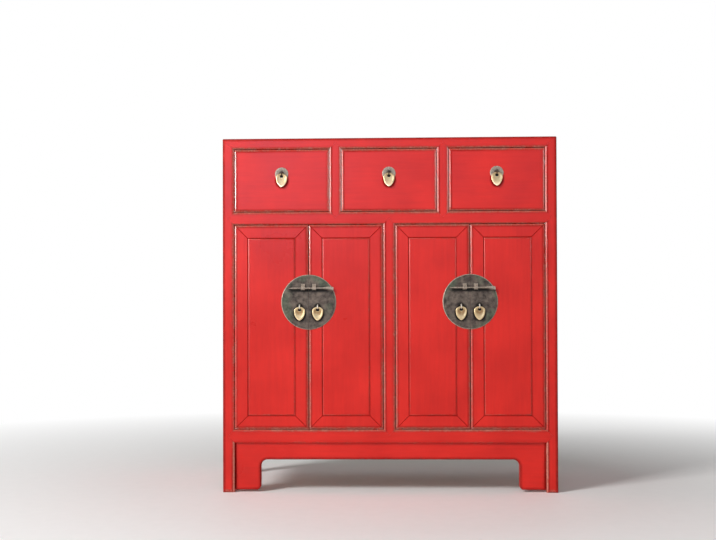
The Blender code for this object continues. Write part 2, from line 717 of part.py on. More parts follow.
def build_drop(name, eye, carrier_plate, carrier):
    """A wire eye joined to its plate, and the dished leaf that hangs through it on its own pivot."""
    ring = wire_ring(EYE_RADIUS, EYE_WIRE_RADIUS)
    trim(ring, (0, EYE_STANDOFF + EYE_FOOT, 0), (0, 1, 0))
    combine(carrier_plate, add_piece(name + "_eye", ring, DARK_BRASS, eye, carrier), "UNION")
    pivot = add_pivot(name + "_drop_pivot", eye, carrier)
    outer = drop_outline()
    inner = shrunk(outer, DROP_EDGE)
    rim = shrunk(outer, DROP_RIM)
    dish = shrunk(outer, DROP_RIM + DROP_DISH)
    half = DROP_THICKNESS / 2
    front = [(DROP_DISH - half, dish), (-half, rim), (-half, inner)]
    shape = plate(front + [(DROP_EDGE - half, outer), (half - DROP_EDGE, outer), (half, inner)])
    leaf = add_piece(name + "_drop", shape, BRIGHT_BRASS, parent=pivot)
    outline = circle((0, -EYE_RADIUS), EYE_WIRE_RADIUS + EYE_CLEARANCE, ROD_SIDES)
    hole = prism(outline, "Y", -DROP_THICKNESS, DROP_THICKNESS)
    combine(leaf, add_piece(name + "_drop_hole", hole, BRIGHT_BRASS, parent=pivot), "DIFFERENCE")


def door_axes():
    """Pivot line of each door from left to right, and the way it runs from its pivot."""
    from_pair = DOOR_MEETING_GAP / 2 + DOOR_WIDTH - PIVOT_FROM_EDGE
    axes = []
    for pair in (-1, 1):
        for hand in (-1, 1):
            axes.append((pair * DOOR_PAIR_MIDDLE + hand * from_pair, -hand))
    return axes


def build_door(name, pivot_x, way):
    """One door, built round its pivot line; way is the side its free edge is on."""
    pivot = add_pivot("door_%s_pivot" % name, (pivot_x, LEAF_FACE + PIVOT_FROM_FACE, DOOR_MIDDLE))
    middle = way * (DOOR_WIDTH / 2 - PIVOT_FROM_EDGE)
    face = -PIVOT_FROM_FACE
    back = DOOR_THICKNESS
    rebate = DOOR_MEMBER_WIDTH - DOOR_REBATE_WIDTH
    profile = round_edge(LEAF_ROUND) + [
        (0, back - DOOR_BACK_CHAMFER), (DOOR_BACK_CHAMFER, back), (rebate, back),
        (rebate, DOOR_REBATE_DEPTH), (DOOR_MEMBER_WIDTH, DOOR_REBATE_DEPTH),
        (DOOR_MEMBER_WIDTH, PANEL_LINE), (DOOR_MEMBER_WIDTH - PANEL_LINE, 0),
    ]
    shape = framed_solid(DOOR_WIDTH, DOOR_HEIGHT, profile, ring=True, line=MITRE_LINE)
    frame = add_piece("door_%s_frame" % name, shape, LACQUER, (middle, face, 0), pivot)
    edge = DOOR_HEIGHT / 2
    for part, low, high in (
        ("head", edge - PIVOT_ROOT, edge + PIVOT_LENGTH),
        ("foot", -edge - PIVOT_LENGTH, PIVOT_ROOT - edge),
    ):
        pin = rods(PIVOT_RADIUS, low, high, [(0, 0)])
        combine(frame, add_piece("door_%s_%s_pin" % (name, part), pin, LACQUER, parent=pivot), "UNION")

    width = DOOR_WIDTH - 2 * (DOOR_MEMBER_WIDTH + JOINT_GAP)
    height = DOOR_HEIGHT - 2 * (DOOR_MEMBER_WIDTH + JOINT_GAP)
    shoulder = DOOR_REBATE_DEPTH + JOINT_GAP
    lip = DOOR_REBATE_WIDTH
    profile = [
        (PANEL_LINE, 0), (0, PANEL_LINE), (0, shoulder),
        (-lip, shoulder), (-lip, DOOR_THICKNESS - DOOR_PANEL_SETBACK),
    ]
    shape = framed_solid(width, height, profile)
    add_piece("door_%s_panel" % name, shape, LACQUER, (middle, face, 0), pivot)
    build_lock_half(name, pivot, way)


def build_lock_half(name, pivot, way):
    """Half of the round plate on the door's free edge, with its staple, eye and drop."""
    gap = way * (DOOR_WIDTH - PIVOT_FROM_EDGE + DOOR_MEETING_GAP / 2)
    centre = Vector((gap, PLATE_FACE - LEAF_FACE - PIVOT_FROM_FACE, PLATE_ABOVE_DOOR_MIDDLE))
    inner = half_disc(PLATE_RADIUS - PLATE_RIM, -way)
    outer = half_disc(PLATE_RADIUS, -way)
    shape = plate([(0, inner), (PLATE_RIM, outer), (PLATE_THICKNESS, outer)])
    lock_plate = add_piece("door_%s_lock_plate" % name, shape, DARK_BRASS, centre, pivot)

    spot = centre + Vector((-way * STAPLE_FROM_GAP, 0, PIN_ABOVE_PLATE_MIDDLE))
    staple = add_piece("door_%s_staple" % name, staple_strap(), DARK_BRASS, spot, pivot)
    combine(lock_plate, staple, "UNION")
    eye = centre + Vector((-way * EYE_FROM_GAP, -EYE_STANDOFF, -EYE_BELOW_PLATE_MIDDLE))
    build_drop("door_" + name, eye, lock_plate, pivot)


def half_disc(radius, hand):
    """Outline of the part of a disc that lies on one hand, up to half the gap between the plates."""
    reach = math.degrees(math.acos(PLATE_MEETING_GAP / 2 / radius))
    return [(hand * x, z) for x, z in arc((0, 0), radius, -reach, reach, PLATE_STEPS)]


def staple_strap():
    """A strap bent over the pin, with both feet let into the plate."""
    foot = PLATE_THICKNESS / 2
    outer = STAPLE_BORE + STAPLE_WALL
    axis = (-PIN_STANDOFF, 0)
    outline = [(foot, STAPLE_HEAD_RISE)]
    outline += arc(axis, outer, STAPLE_SHOULDER, 180, ARC_STEPS // 2) + arc(axis, outer, 180, 270)[1:]
    outline += [(foot, -outer), (foot, -STAPLE_BORE)]
    outline += arc(axis, STAPLE_BORE, 270, STAPLE_SHOULDER)
    outline += [(foot, STAPLE_HEAD_RISE - 2 * STAPLE_WALL)]
    return prism(outline, "X", -STAPLE_WIDTH / 2, STAPLE_WIDTH / 2)


def build_lock_pin(name, pair_middle):
    """The pin through both staples of a pair, parted at the gap so that either door can open."""
    slide = add_pivot("lock_pin_%s_slide" % name, (pair_middle, PIN_LINE, PIN_LEVEL))
    part = PIN_PARTING / 2
    tip = [
        (-PIN_TIP_REACH, 0, PIN_TIP_RADIUS, PIN_TIP_RADIUS),
        (PIN_TIP_TAPER - PIN_TIP_REACH, 0, PIN_RADIUS, PIN_RADIUS),
        (-part, 0, PIN_RADIUS, PIN_RADIUS),
    ]
    add_piece("lock_pin_tip_" + name, lofted(tip), DARK_BRASS, parent=slide)
    neck = PIN_HEAD_REACH - PIN_HEAD_LENGTH
    head = [(part, 0, PIN_RADIUS, PIN_RADIUS), (neck, 0, PIN_RADIUS, PIN_RADIUS)]
    for step in range(1, HEAD_STEPS + 1):
        share = step / HEAD_STEPS
        flare = math.sin(math.radians(90 * share))
        half_height = PIN_RADIUS + (PIN_HEAD_HEIGHT / 2 - PIN_RADIUS) * flare
        half_thickness = PIN_RADIUS + (PIN_HEAD_THICKNESS / 2 - PIN_RADIUS) * flare
        spot = neck + PIN_HEAD_LENGTH * share
        head.append((spot, -PIN_HEAD_DROOP * share ** 2, half_height, half_thickness))
    add_piece("lock_pin_" + name, lofted(head), DARK_BRASS, parent=slide)


def build_case():
    posts = {}
    top_rails = {"front": build_front_top_rail(), "rear": build_rear_top_rail()}
    for name, hand in HANDS:
        posts["front_" + name] = build_front_post("post_front_" + name, hand)
        posts["rear_" + name] = build_rear_post("post_rear_" + name, hand)
        top_rails[name] = build_side_top_rail("top_rail_" + name, hand)
    fronts = build_front_rails()
    dividers = [fronts["drawer_divider_" + name] for name, _ in HANDS]
    build_top_panel([*top_rails.values(), *dividers])
    build_walls(posts, top_rails, fronts)
    build_apron()


clear_scene()
LACQUER = make_finish("red_lacquer", (0.68, 0.045, 0.033), 0.28, 0.0)
WOOD = make_finish("plain_wood", (0.42, 0.25, 0.13), 0.6, 0.0)
DARK_BRASS = make_finish("aged_brass", (0.16, 0.14, 0.10), 0.45, 1.0)
BRIGHT_BRASS = make_finish("bright_brass", (0.72, 0.55, 0.28), 0.3, 1.0)

build_case()
for drawer, column in DRAWER_COLUMNS:
    build_drawer(drawer, column * DRAWER_PITCH)
for door, (axis_x, direction) in zip(DOOR_NAMES, door_axes()):
    build_door(door, axis_x, direction)
for lock, side in HANDS:
    build_lock_pin(lock, side * DOOR_PAIR_MIDDLE)
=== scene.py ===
"""Looks of the red lacquered chest: rubbed lacquer, plain boards inside, aged brass fittings.

Metres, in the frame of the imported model: +Z up, front towards -Y.
"""

import json
import math

import bmesh
import bpy
from mathutils import Matrix, Vector, noise


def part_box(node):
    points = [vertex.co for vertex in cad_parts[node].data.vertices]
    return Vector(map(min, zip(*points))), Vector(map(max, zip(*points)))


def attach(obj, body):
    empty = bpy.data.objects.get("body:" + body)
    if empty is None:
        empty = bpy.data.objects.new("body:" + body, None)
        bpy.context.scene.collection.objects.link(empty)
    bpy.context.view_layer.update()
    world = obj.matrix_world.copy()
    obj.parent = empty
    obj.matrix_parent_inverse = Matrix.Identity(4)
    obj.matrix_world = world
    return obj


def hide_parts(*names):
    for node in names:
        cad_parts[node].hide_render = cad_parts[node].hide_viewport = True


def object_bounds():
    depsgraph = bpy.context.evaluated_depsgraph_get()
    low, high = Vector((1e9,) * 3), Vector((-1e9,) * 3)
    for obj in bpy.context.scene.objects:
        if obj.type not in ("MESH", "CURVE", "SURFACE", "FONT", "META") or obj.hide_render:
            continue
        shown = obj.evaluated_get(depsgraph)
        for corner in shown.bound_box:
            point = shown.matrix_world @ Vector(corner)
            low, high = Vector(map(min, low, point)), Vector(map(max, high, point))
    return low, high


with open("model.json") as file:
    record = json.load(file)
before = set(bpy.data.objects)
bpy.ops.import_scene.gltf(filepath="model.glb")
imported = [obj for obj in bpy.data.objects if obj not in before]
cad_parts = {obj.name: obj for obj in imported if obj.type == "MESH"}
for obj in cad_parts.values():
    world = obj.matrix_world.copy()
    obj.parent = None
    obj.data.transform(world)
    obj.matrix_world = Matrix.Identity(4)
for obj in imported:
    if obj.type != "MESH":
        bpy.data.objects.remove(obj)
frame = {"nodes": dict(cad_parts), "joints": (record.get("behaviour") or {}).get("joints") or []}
CAD_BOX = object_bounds()

# Planed front edges: the slope between face and side, and how far wear and painted shade reach onto the face
EDGE_WIDTH = 0.0043
EDGE_DEPTH = 0.0022
EDGE_WEAR = 0.0030
EDGE_FALL = 0.00005
OUTER_WIDTH = 0.0030
OUTER_WEAR_AND_SHADE = 0.0060
UNDER_EDGE = 0.8
DOOR_TOP_EDGE = 0.5
SOFT_CREASE = 0.35
DOOR_CREASE = 0.75
SHADE_REACH = 0.010
SQUARE_FALL = (0.0, 0.01, 0.03, 0.04, 0.05, 0.45, 0.6, 1.1)
ROUND_FALL = (0.0, 0.03, 0.12, 0.3, 0.75, 1.0, 1.15, 2.2)
LEG_WEAR = 1.4
FOOT_EDGE = 0.4
FOOT_WEAR = 0.012
FOOT_SLOPE = 2.4
BOARD_EASE = 0.0006
CAD_ROUND = 0.003

# Apron
APRON_HEIGHT = 0.046
APRON_CORNER = 0.018
APRON_END_GAP = 0.003
APRON_END_INSET = 0.0015
BRACKET_WIDTH = 0.071
BRACKET_TOE = 0.012

# Doors
DOOR_THICKNESS = 0.018
DOOR_MEMBER_WIDTH = 0.036
DOOR_REBATE_WIDTH = 0.006
DOOR_REBATE_DEPTH = 0.009
DOOR_PANEL_SETBACK = 0.002
PANEL_LINE = 0.0017
MITRE_LINE = 0.0016
PIVOT_RADIUS = 0.004
PIVOT_LENGTH = 0.010
PIVOT_FROM_EDGE = 0.011
PIVOT_FROM_FACE = 0.007
JOINT_GAP = 0.0003

# Brass fittings
PLATE_THICKNESS = 0.0015
PLATE_RIM = 0.0022
PLATE_RIM_FALL = 0.0011
PLATE_RINGS = 22
PLATE_GAP = 0.0004
PLATE_HAMMER = 0.00012
HAMMER_FINENESS = 38.0
STAPLE_FROM_GAP = 0.015
STAPLE_WIDTH = 0.0105
STAPLE_WALL = 0.0016
STAPLE_HEAD_RISE = 0.013
STAPLE_SHOULDER = 120
PIN_RADIUS = 0.0026
PIN_CLEARANCE = 0.0004
PIN_TIP_TAPER = 0.012
PIN_TIP_RADIUS = 0.0006
PIN_HEAD_LENGTH = 0.026
PIN_HEAD_HEIGHT = 0.0135
PIN_HEAD_THICKNESS = 0.0026
PIN_HEAD_DROOP = 0.0035
PIN_HEAD_STEPS = 10
EYE_RADIUS = 0.0052
EYE_WIRE_RADIUS = 0.0014
EYE_FOOT = 0.0006
DROP_WIDTH = 0.0296
DROP_LENGTH = 0.0375
DROP_SHOULDER = 0.0115
DROP_TAPER = 2.3
DROP_BLUNTNESS = 0.75
DROP_CURL = 0.0030
DROP_HEART = 0.42
DROP_HOLE_WIDTH = 0.0050
DROP_HOLE_HEIGHT = 0.0040
DROP_HOLE_SAG = 0.0032
BORE_REACH = 0.010
BACKPLATE_RADIUS = 0.018
BACKPLATE_THICKNESS = 0.0012
# Rows from the middle to the rim, and over it: share of the outline, depth, wear or tarnish
BACKPLATE_RINGS = (
    (0.05, 0.0002, 0.6), (0.15, 0.0002, 0.6), (0.25, 0.0002, 0.6), (0.35, 0.0001, 0.6),
    (0.45, 0.0001, 0.65), (0.6, 0.0001, 0.65), (0.75, 0.0, 0.7), (0.88, 0.0, 0.75),
    (0.95, 0.2 * BACKPLATE_THICKNESS, 0.8), (1.0, 0.6 * BACKPLATE_THICKNESS, 0.8),
    (1.0, BACKPLATE_THICKNESS, 0.2),
)
DROP_SECTION = (
    (0.08, -0.0001, 0.9), (0.40, -0.0001, 0.9), (0.62, -0.0003, 0.75), (0.74, -0.0007, 0.35),
    (0.84, -0.0011, 0.1), (0.92, -0.0011, 0.0), (0.97, -0.0007, 0.0), (1.0, -0.0001, 0.1),
    (1.0, 0.0003, 0.2), (0.96, 0.0007, 0.4), (0.50, 0.0008, 0.5), (0.08, 0.0008, 0.5),
)

# Wear of the brass, from black dirt and painted shade below 0 to polish above 1
PIN_WEAR = 0.72
PIN_HEAD_WEAR = 0.15
PIN_UNDERSIDE_SHADE = 1.05
BRIGHT_EYE = 1.5
# The drawers' eyes are darkened with painted shade, for the shade in their holes
SHADED_EYE = -0.3
# Darkening at a drop's head, tarnish in its dish, and a brightening at its tip that is partly polish and
# partly a painted highlight
DRAWER_DROP = (0.7, 0.6, 1.0)
DOOR_DROP = (0.0, 1.0, 0.2)

# Dirt and painted shade on the plates round eyes and staples, painted shade round drops and under the lock
# pins, and painted shade on the drawers' lacquer round their drops
DIRT_AND_SHADE_REACH = 0.0125
DIRT_AND_SHADE_DEPTH = 2.0
SMALL_DIRT_AND_SHADE_REACH = 0.0075
DROP_SHADE_WIDTH = 0.005
DROP_SHADE_SLOPE = 3.0
DROP_SHADE_DEPTH = 1.5
PIN_SHADOW_REACH = 0.0055
PIN_SHADOW_FALL = 0.0055
PIN_SHADOW_DEPTH = 1.25
PIN_SHADOW_END = 0.060
PIN_SHADOW_FADE = 0.016
DROP_SHADE_STEP = 0.003
DROP_SHADE_CUTS = 9
DROP_SHADE_ON_FRONT = 1.2

# Fineness of round shapes
RING_STEPS = 48
ROD_SIDES = 24
WIRE_SIDES = 12
LEAF_STEPS = 16

# How near counts as the same point, the same plane or the same direction
WELD = 0.00001
CUT_PRECISION = 1e-7
FLAT_ANGLE = math.radians(0.5)
SMOOTH_ANGLE = math.radians(33)
SQUARE = 0.999

# Camera, as the photograph was taken
CAMERA_PLACE = (-0.0021, -2.9446, 0.44)
CAMERA_YAW = math.radians(1.713)
CAMERA_PITCH = math.radians(0.737)
CAMERA_ROLL = math.radians(-0.170)
CAMERA_LENS = 51.4
CAMERA_SENSOR = 36.0
CAMERA_SHIFT_Y = 0.0637

# Floor and light
FLOOR_RADIUS = 9.0
FLOOR_SIDES = 96
FLOOR_FADE = (0.7, 2.6)
AMBIENT = 0.20
FRONT_MIDDLE = (0.0, -0.2, 0.5)
FRONT_TOP = (0.0, -0.2, 1.0)
# Name, place, aim, size, radiance and any tint of each lamp; only gloss shows the gleams
SOFT_LAMPS = (
    ("key", (-3.5, -3.5, 3.4), FRONT_MIDDLE, (1.5, 1.5), 35.0),
    ("fill", (0.2, -3.4, 1.4), FRONT_MIDDLE, (1.6, 1.6), 1.5),
)
GLEAMS = (
    ("gleam_far_left", (-2.78, -1.29, 1.28), FRONT_TOP, (0.45, 0.8), 54.0),
    ("gleam_left", (-1.88, -1.83, 1.28), FRONT_TOP, (1.3, 0.8), 12.0),
    ("gleam_low", (-2.2, -1.66, 0.45), FRONT_MIDDLE, (2.4, 1.2), 2.6),
    ("gleam_right", (2.35, -1.62, 1.4), FRONT_TOP, (1.1, 0.62), 9.0),
    ("haze_left", (-0.75, -3.1, 1.45), FRONT_TOP, (1.2, 0.9), 4.4, (0.45, 0.66, 1.0)),
    ("haze_right", (0.62, -3.1, 1.45), FRONT_TOP, (0.7, 0.9), 1.5, (0.10, 0.40, 1.0)),
)

HANDS = (("left", -1), ("right", 1))
DRAWERS = ("drawer_left", "drawer_middle", "drawer_right")
DOORS = (("door_outer_left", -1), ("door_inner_left", 1), ("door_inner_right", -1), ("door_outer_right", 1))


class Nodes:
    """A node tree under construction."""

    def __init__(self, owner):
        owner.use_nodes = True
        self.tree = owner.node_tree

    def feed(self, socket, value):
        if isinstance(value, bpy.types.NodeSocket):
            self.tree.links.new(value, socket)
        else:
            socket.default_value = value

    def add(self, kind, inputs, **settings):
        node = self.tree.nodes.new("ShaderNode" + kind)
        for name, value in settings.items():
            setattr(node, name, value)
        for name, value in inputs.items():
            self.feed(node.inputs[name], value)
        return node

    def combine(self, operation, first, second):
        return self.add("Math", {0: first, 1: second}, operation=operation).outputs[0]

    def seen(self):
        """1 for what is seen directly, mirrored or through glass, else 0."""
        path = self.add("LightPath", {})
        seen = self.combine("MAXIMUM", path.outputs["Is Camera Ray"], path.outputs["Is Glossy Ray"])
        return self.combine("MAXIMUM", seen, path.outputs["Is Transmission Ray"])

    def blend(self, share, first, second, output):
        """Show a mix of two shaders."""
        mixed = self.add("MixShader", {0: share, 1: first.outputs[0], 2: second.outputs[0]})
        self.feed(self.tree.nodes[output].inputs["Surface"], mixed.outputs[0])


class Finish(Nodes):
    """A node material under construction."""

    def __init__(self, name):
        self.material = bpy.data.materials.new(name)
        super().__init__(self.material)
        self.surface = self.tree.nodes["Principled BSDF"]

    def set(self, **inputs):
        for name, value in inputs.items():
            self.feed(self.surface.inputs[name.replace("_", " ")], value)

    def place(self):
        """Where a point is on the piece, so that the pattern moves with it."""
        return self.add("TexCoord", {}).outputs["Object"]

    def along(self, axis, fine):
        """Places for a pattern that is stretched along one axis."""
        scale = [1.0 if name == axis else fine for name in "XYZ"]
        return self.add("Mapping", {"Vector": self.place(), "Scale": scale}).outputs[0]

    def cloud(self, scale, detail, roughness=0.5, vector=None):
        inputs = {"Vector": vector or self.place(), "Scale": scale, "Detail": detail, "Roughness": roughness}
        return self.add("TexNoise", inputs).outputs[0]

    def mark(self, name):
        """A value stored on the mesh."""
        return self.add("Attribute", {}, attribute_name=name).outputs["Fac"]

    def remap(self, value, low, high, to_low=0.0, to_high=1.0):
        inputs = {"Value": value, "From Min": low, "From Max": high, "To Min": to_low, "To Max": to_high}
        return self.add("MapRange", inputs).outputs[0]

    def mix(self, share, first, second):
        return self.add("Mix", {0: share, 6: first, 7: second}, data_type="RGBA").outputs[2]

    def bump(self, height, distance, strength, normal=None):
        inputs = {"Height": height, "Distance": distance, "Strength": strength}
        if normal is not None:
            inputs["Normal"] = normal
        return self.add("Bump", inputs).outputs[0]


def colour(red, green, blue):
    return (red, green, blue, 1.0)


# Pairs are mixed by a pattern, the deeper colour first
WHITE = colour(1, 1, 1)
LACQUER = colour(0.57, 0.014, 0.009), colour(0.72, 0.021, 0.013)
RUBBED = colour(0.26, 0.055, 0.034), colour(0.50, 0.145, 0.105)
BARE_EDGE = colour(0.66, 0.24, 0.18)
# Dark red for crease lines and joints, and for painted shade
CREASE_AND_SHADE = colour(0.24, 0.007, 0.006)
BOARD = colour(0.36, 0.215, 0.115), colour(0.46, 0.29, 0.165)
BOARD_FIGURE = colour(0.235, 0.125, 0.06)
BOARD_PORE = colour(0.10, 0.05, 0.025)
BROWN_PATINA = colour(0.030, 0.022, 0.020), colour(0.160, 0.125, 0.100)
GREEN_PATINA = colour(0.050, 0.060, 0.040), colour(0.130, 0.142, 0.098)
RUBBED_BRASS = colour(0.42, 0.35, 0.28)
POLISHED_BRASS = colour(0.78, 0.72, 0.62)
BLACK_DIRT_AND_SHADE = colour(0.010, 0.008, 0.006)
BRIGHT_BRASS = colour(0.45, 0.325, 0.17), colour(0.58, 0.43, 0.24)
POLISH_AND_HIGHLIGHT_TIP = colour(0.95, 0.74, 0.49)
TARNISH = colour(0.26, 0.15, 0.066)
PALE_FLOOR = colour(0.86, 0.855, 0.845), colour(0.91, 0.905, 0.895)
SKY = colour(1.0, 0.985, 0.96)


def make_lacquer(axis):
    """Red lacquer brushed along an axis, rubbed to brown wood along its marked edges."""
    finish = Finish("red_lacquer_" + axis)
    cloud = finish.cloud(7.0, 4.0)
    brush = finish.cloud(9.0, 5.0, 0.6, finish.along(axis, 14.0))
    grit = finish.cloud(260.0, 5.0, 0.65)
    patch = finish.cloud(45.0, 4.0, 0.6)

    tone = finish.combine("ADD", finish.remap(cloud, 0.3, 0.7), finish.remap(brush, 0.2, 0.8, -0.3, 0.3))
    red = finish.mix(tone, *LACQUER)
    edge = finish.mark("worn")
    chance = finish.remap(finish.combine("ADD", grit, patch), 0.7, 1.3, -0.26, 0.26)
    care = finish.combine("MULTIPLY", finish.remap(cloud, 0.35, 0.65, 0.65, 1.1),
                          finish.remap(finish.mark("upright"), 0.0, 1.0, 1.0, 0.8))
    rubbed = finish.remap(finish.combine("ADD", finish.combine("MULTIPLY", edge, care), chance), 0.3, 1.0)
    brown = finish.mix(finish.remap(grit, 0.35, 0.65), *RUBBED)
    worn = finish.mix(rubbed, red, brown)
    bare = finish.remap(finish.combine("ADD", edge, chance), 1.0, 1.6)
    worn = finish.mix(bare, worn, BARE_EDGE)
    # The line mark darkens the lacquer: crease lines and dark joints, and painted shade in gaps, on the
    # outline's edges, along shaded edges and round the drawers' drops
    line = finish.combine("MULTIPLY", finish.mark("line"), finish.remap(patch, 0.35, 0.65, 0.65, 1.0))
    finish.set(Base_Color=finish.mix(line, worn, CREASE_AND_SHADE))
    satin = finish.remap(cloud, 0.3, 0.7, 0.27, 0.36)
    gloss = finish.combine("SUBTRACT", satin, finish.remap(edge, 0.5, 1.0, 0.0, 0.16))
    finish.set(Roughness=finish.combine("ADD", gloss, finish.remap(line, 0.1, 0.5, 0.0, 0.25)))
    finish.set(Specular_IOR_Level=finish.remap(line, 0.1, 0.5, 0.26, 0.1))
    ripple = finish.bump(brush, 0.0004, finish.remap(edge, 0.3, 0.9, 0.25, 0.03))
    finish.set(Normal=finish.bump(grit, 0.00012, finish.remap(edge, 0.3, 0.9, 0.35, 0.08), ripple))
    return finish.material


def make_wood(axis):
    """Plain board with grain along an axis."""
    finish = Finish("plain_wood_" + axis)
    flow = finish.along(axis, 16.0)
    figure = finish.cloud(3.2, 6.0, 0.6, flow)
    pore = finish.cloud(26.0, 3.0, 0.7, flow)
    stain = finish.cloud(5.0, 3.0)
    light = finish.mix(finish.remap(stain, 0.3, 0.7), *BOARD)
    grained = finish.mix(finish.remap(figure, 0.42, 0.66), light, BOARD_FIGURE)
    finish.set(Base_Color=finish.mix(finish.remap(pore, 0.58, 0.8, 0.0, 0.7), grained, BOARD_PORE))
    finish.set(Roughness=finish.remap(figure, 0.3, 0.7, 0.52, 0.7))
    finish.set(Normal=finish.bump(pore, 0.0004, 0.5))
    return finish.material


def make_aged_brass():
    """Brass under a brown patina that turns green towards the rim; rubbed where worn, black where dirty and
    where shade is painted.
    """
    finish = Finish("aged_brass")
    mottle = finish.cloud(70.0, 6.0, 0.65)
    blotch = finish.cloud(24.0, 4.0, 0.55)
    grain = finish.cloud(420.0, 4.0, 0.6)
    mottled = finish.remap(mottle, 0.34, 0.66)
    brown = finish.mix(mottled, *BROWN_PATINA)
    green = finish.mix(mottled, *GREEN_PATINA)
    outward = finish.combine("ADD", finish.mark("line"), finish.remap(blotch, 0.3, 0.7, -0.35, 0.35))
    patina = finish.mix(finish.remap(outward, 0.8, 1.15), brown, green)
    wear = finish.mark("worn")
    rubbed = finish.remap(finish.combine("ADD", wear, finish.remap(grain, 0.3, 0.7, -0.3, 0.3)), 0.4, 0.9)
    handled = finish.mix(rubbed, patina, RUBBED_BRASS)
    polished = finish.mix(finish.remap(wear, 1.1, 1.6), handled, POLISHED_BRASS)
    finish.set(Base_Color=finish.mix(finish.remap(wear, 0.0, -0.8), polished, BLACK_DIRT_AND_SHADE))
    finish.set(Metallic=finish.remap(blotch, 0.45, 0.7, 0.25, 0.12), Specular_IOR_Level=0.15)
    finish.set(Roughness=finish.remap(mottle, 0.3, 0.7, 0.42, 0.6))
    dents = finish.bump(mottle, 0.0006, 0.45)
    finish.set(Normal=finish.bump(grain, 0.0001, 0.4, dents))
    return finish.material


def make_bright_brass():
    """Brass kept bright by hands, brightest at the tip where a painted highlight is added, with tarnish
    where it is dished.
    """
    finish = Finish("bright_brass")
    mottle = finish.cloud(160.0, 5.0, 0.6)
    grain = finish.cloud(600.0, 3.0, 0.6)
    bright = finish.mix(finish.remap(mottle, 0.35, 0.65), *BRIGHT_BRASS)
    # The tip is brightened: polish and a painted highlight
    bright = finish.mix(finish.remap(finish.mark("line"), 0.1, 0.7), bright, POLISH_AND_HIGHLIGHT_TIP)
    dull = finish.combine("ADD", finish.mark("worn"), finish.remap(mottle, 0.3, 0.7, -0.25, 0.25))
    finish.set(Base_Color=finish.mix(finish.remap(dull, 0.25, 0.9), bright, TARNISH))
    finish.set(Metallic=finish.remap(mottle, 0.3, 0.7, 1.0, 0.9))
    finish.set(Roughness=finish.remap(mottle, 0.3, 0.7, 0.32, 0.45))
    finish.set(Normal=finish.bump(grain, 0.00008, 0.4))
    return finish.material


def joint_spot(name):
    """Where a joint is in the frame."""
    joint = next(row for row in frame["joints"] if row["name"] == name)
    return Vector(joint["pos_m"])


def runs_upright(face):
    """1 for a face that is longest from top to bottom, else 0."""
    longest = max(face.edges, key=lambda edge: edge.calc_length())
    run = longest.verts[1].co - longest.verts[0].co
    return float(abs(run.z) > max(abs(run.x), abs(run.y)))


def mesh_of(name, shape):
    """Turn a bmesh into a mesh; its layers become marks that the finish reads."""
    mesh = bpy.data.meshes.new(name)
    shape.to_mesh(mesh)
    shape.free()
    return mesh


def shade(mesh):
    """Smooth shading that breaks at crisp edges."""
    mesh.shade_smooth()
    mesh.set_sharp_from_angle(angle=SMOOTH_ANGLE)


def link_object(name, data):
    thing = bpy.data.objects.new(name, data)
    bpy.context.scene.collection.objects.link(thing)
    return thing


def add_piece(name, shape, finish, body, nodes=(), weighted=True):
    """Turn a bmesh into a piece that rides on a body and stands for CAD nodes."""
    bmesh.ops.recalc_face_normals(shape, faces=shape.faces)
    upright = shape.faces.layers.float.new("upright")
    for face in shape.faces:
        face[upright] = runs_upright(face)
    mesh = mesh_of(name, shape)
    mesh.materials.append(finish)
    shade(mesh)
    piece = link_object(name, mesh)
    if weighted:
        piece.modifiers.new("even_faces", "WEIGHTED_NORMAL").keep_sharp = True
    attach(piece, body)
    if nodes:
        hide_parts(*nodes)
    return piece


def add_lacquered(node, shape, finish, body="case"):
    """Add the lacquered piece that stands for a node."""
    add_piece(node + "_lacquer", shape, finish, body, [node])


def new_shape():
    """An empty bmesh with the wear and line layers."""
    shape = bmesh.new()
    shape.verts.layers.float.new("worn")
    shape.verts.layers.float.new("line")
    return shape


def new_vert(shape, spot, worn=0.0, line=0.0):
    vert = shape.verts.new(spot)
    vert[shape.verts.layers.float["worn"]] = worn
    vert[shape.verts.layers.float["line"]] = line
    return vert


def skin(shape, loops, ring=False):
    """Join loops of equal length in turn; cap both ends, or close a ring back onto its first loop."""
    pairs = list(zip(loops, loops[1:]))
    if ring:
        pairs.append((loops[-1], loops[0]))
    else:
        shape.faces.new(loops[0])
        shape.faces.new(list(reversed(loops[-1])))
    for near, far in pairs:
        for here in range(len(near)):
            there = (here + 1) % len(near)
            shape.faces.new((near[there], near[here], far[here], far[there]))


def skinned(rings, ring=False):
    """A new shape over rings of (spot, worn, line)."""
    shape = new_shape()
    skin(shape, [[new_vert(shape, *spot) for spot in loop] for loop in rings], ring)
    return shape


def skin_open(shape, loops):
    """Close a half plate: strips between its rings, its straight edge, its centre and its back."""
    for near, far in zip(loops, loops[1:]):
        for here in range(len(near) - 1):
            shape.faces.new((near[here], near[here + 1], far[here + 1], far[here]))
    shape.faces.new(loops[0])
    shape.faces.new(loops[-1])
    low_edge = [loop[0] for loop in loops]
    high_edge = [loop[-1] for loop in loops]
    shape.faces.new(low_edge + list(reversed(high_edge)))


def arc(centre, radius, start, end, steps):
    """Points of an arc between two angles in degrees, both ends included."""
    points = []
    for step in range(steps + 1):
        angle = math.radians(start + (end - start) * step / steps)
        points.append((centre[0] + radius * math.cos(angle), centre[1] + radius * math.sin(angle)))
    return points


def circle(centre, radius, sides):
    return arc(centre, radius, 0, 360, sides)[:-1]


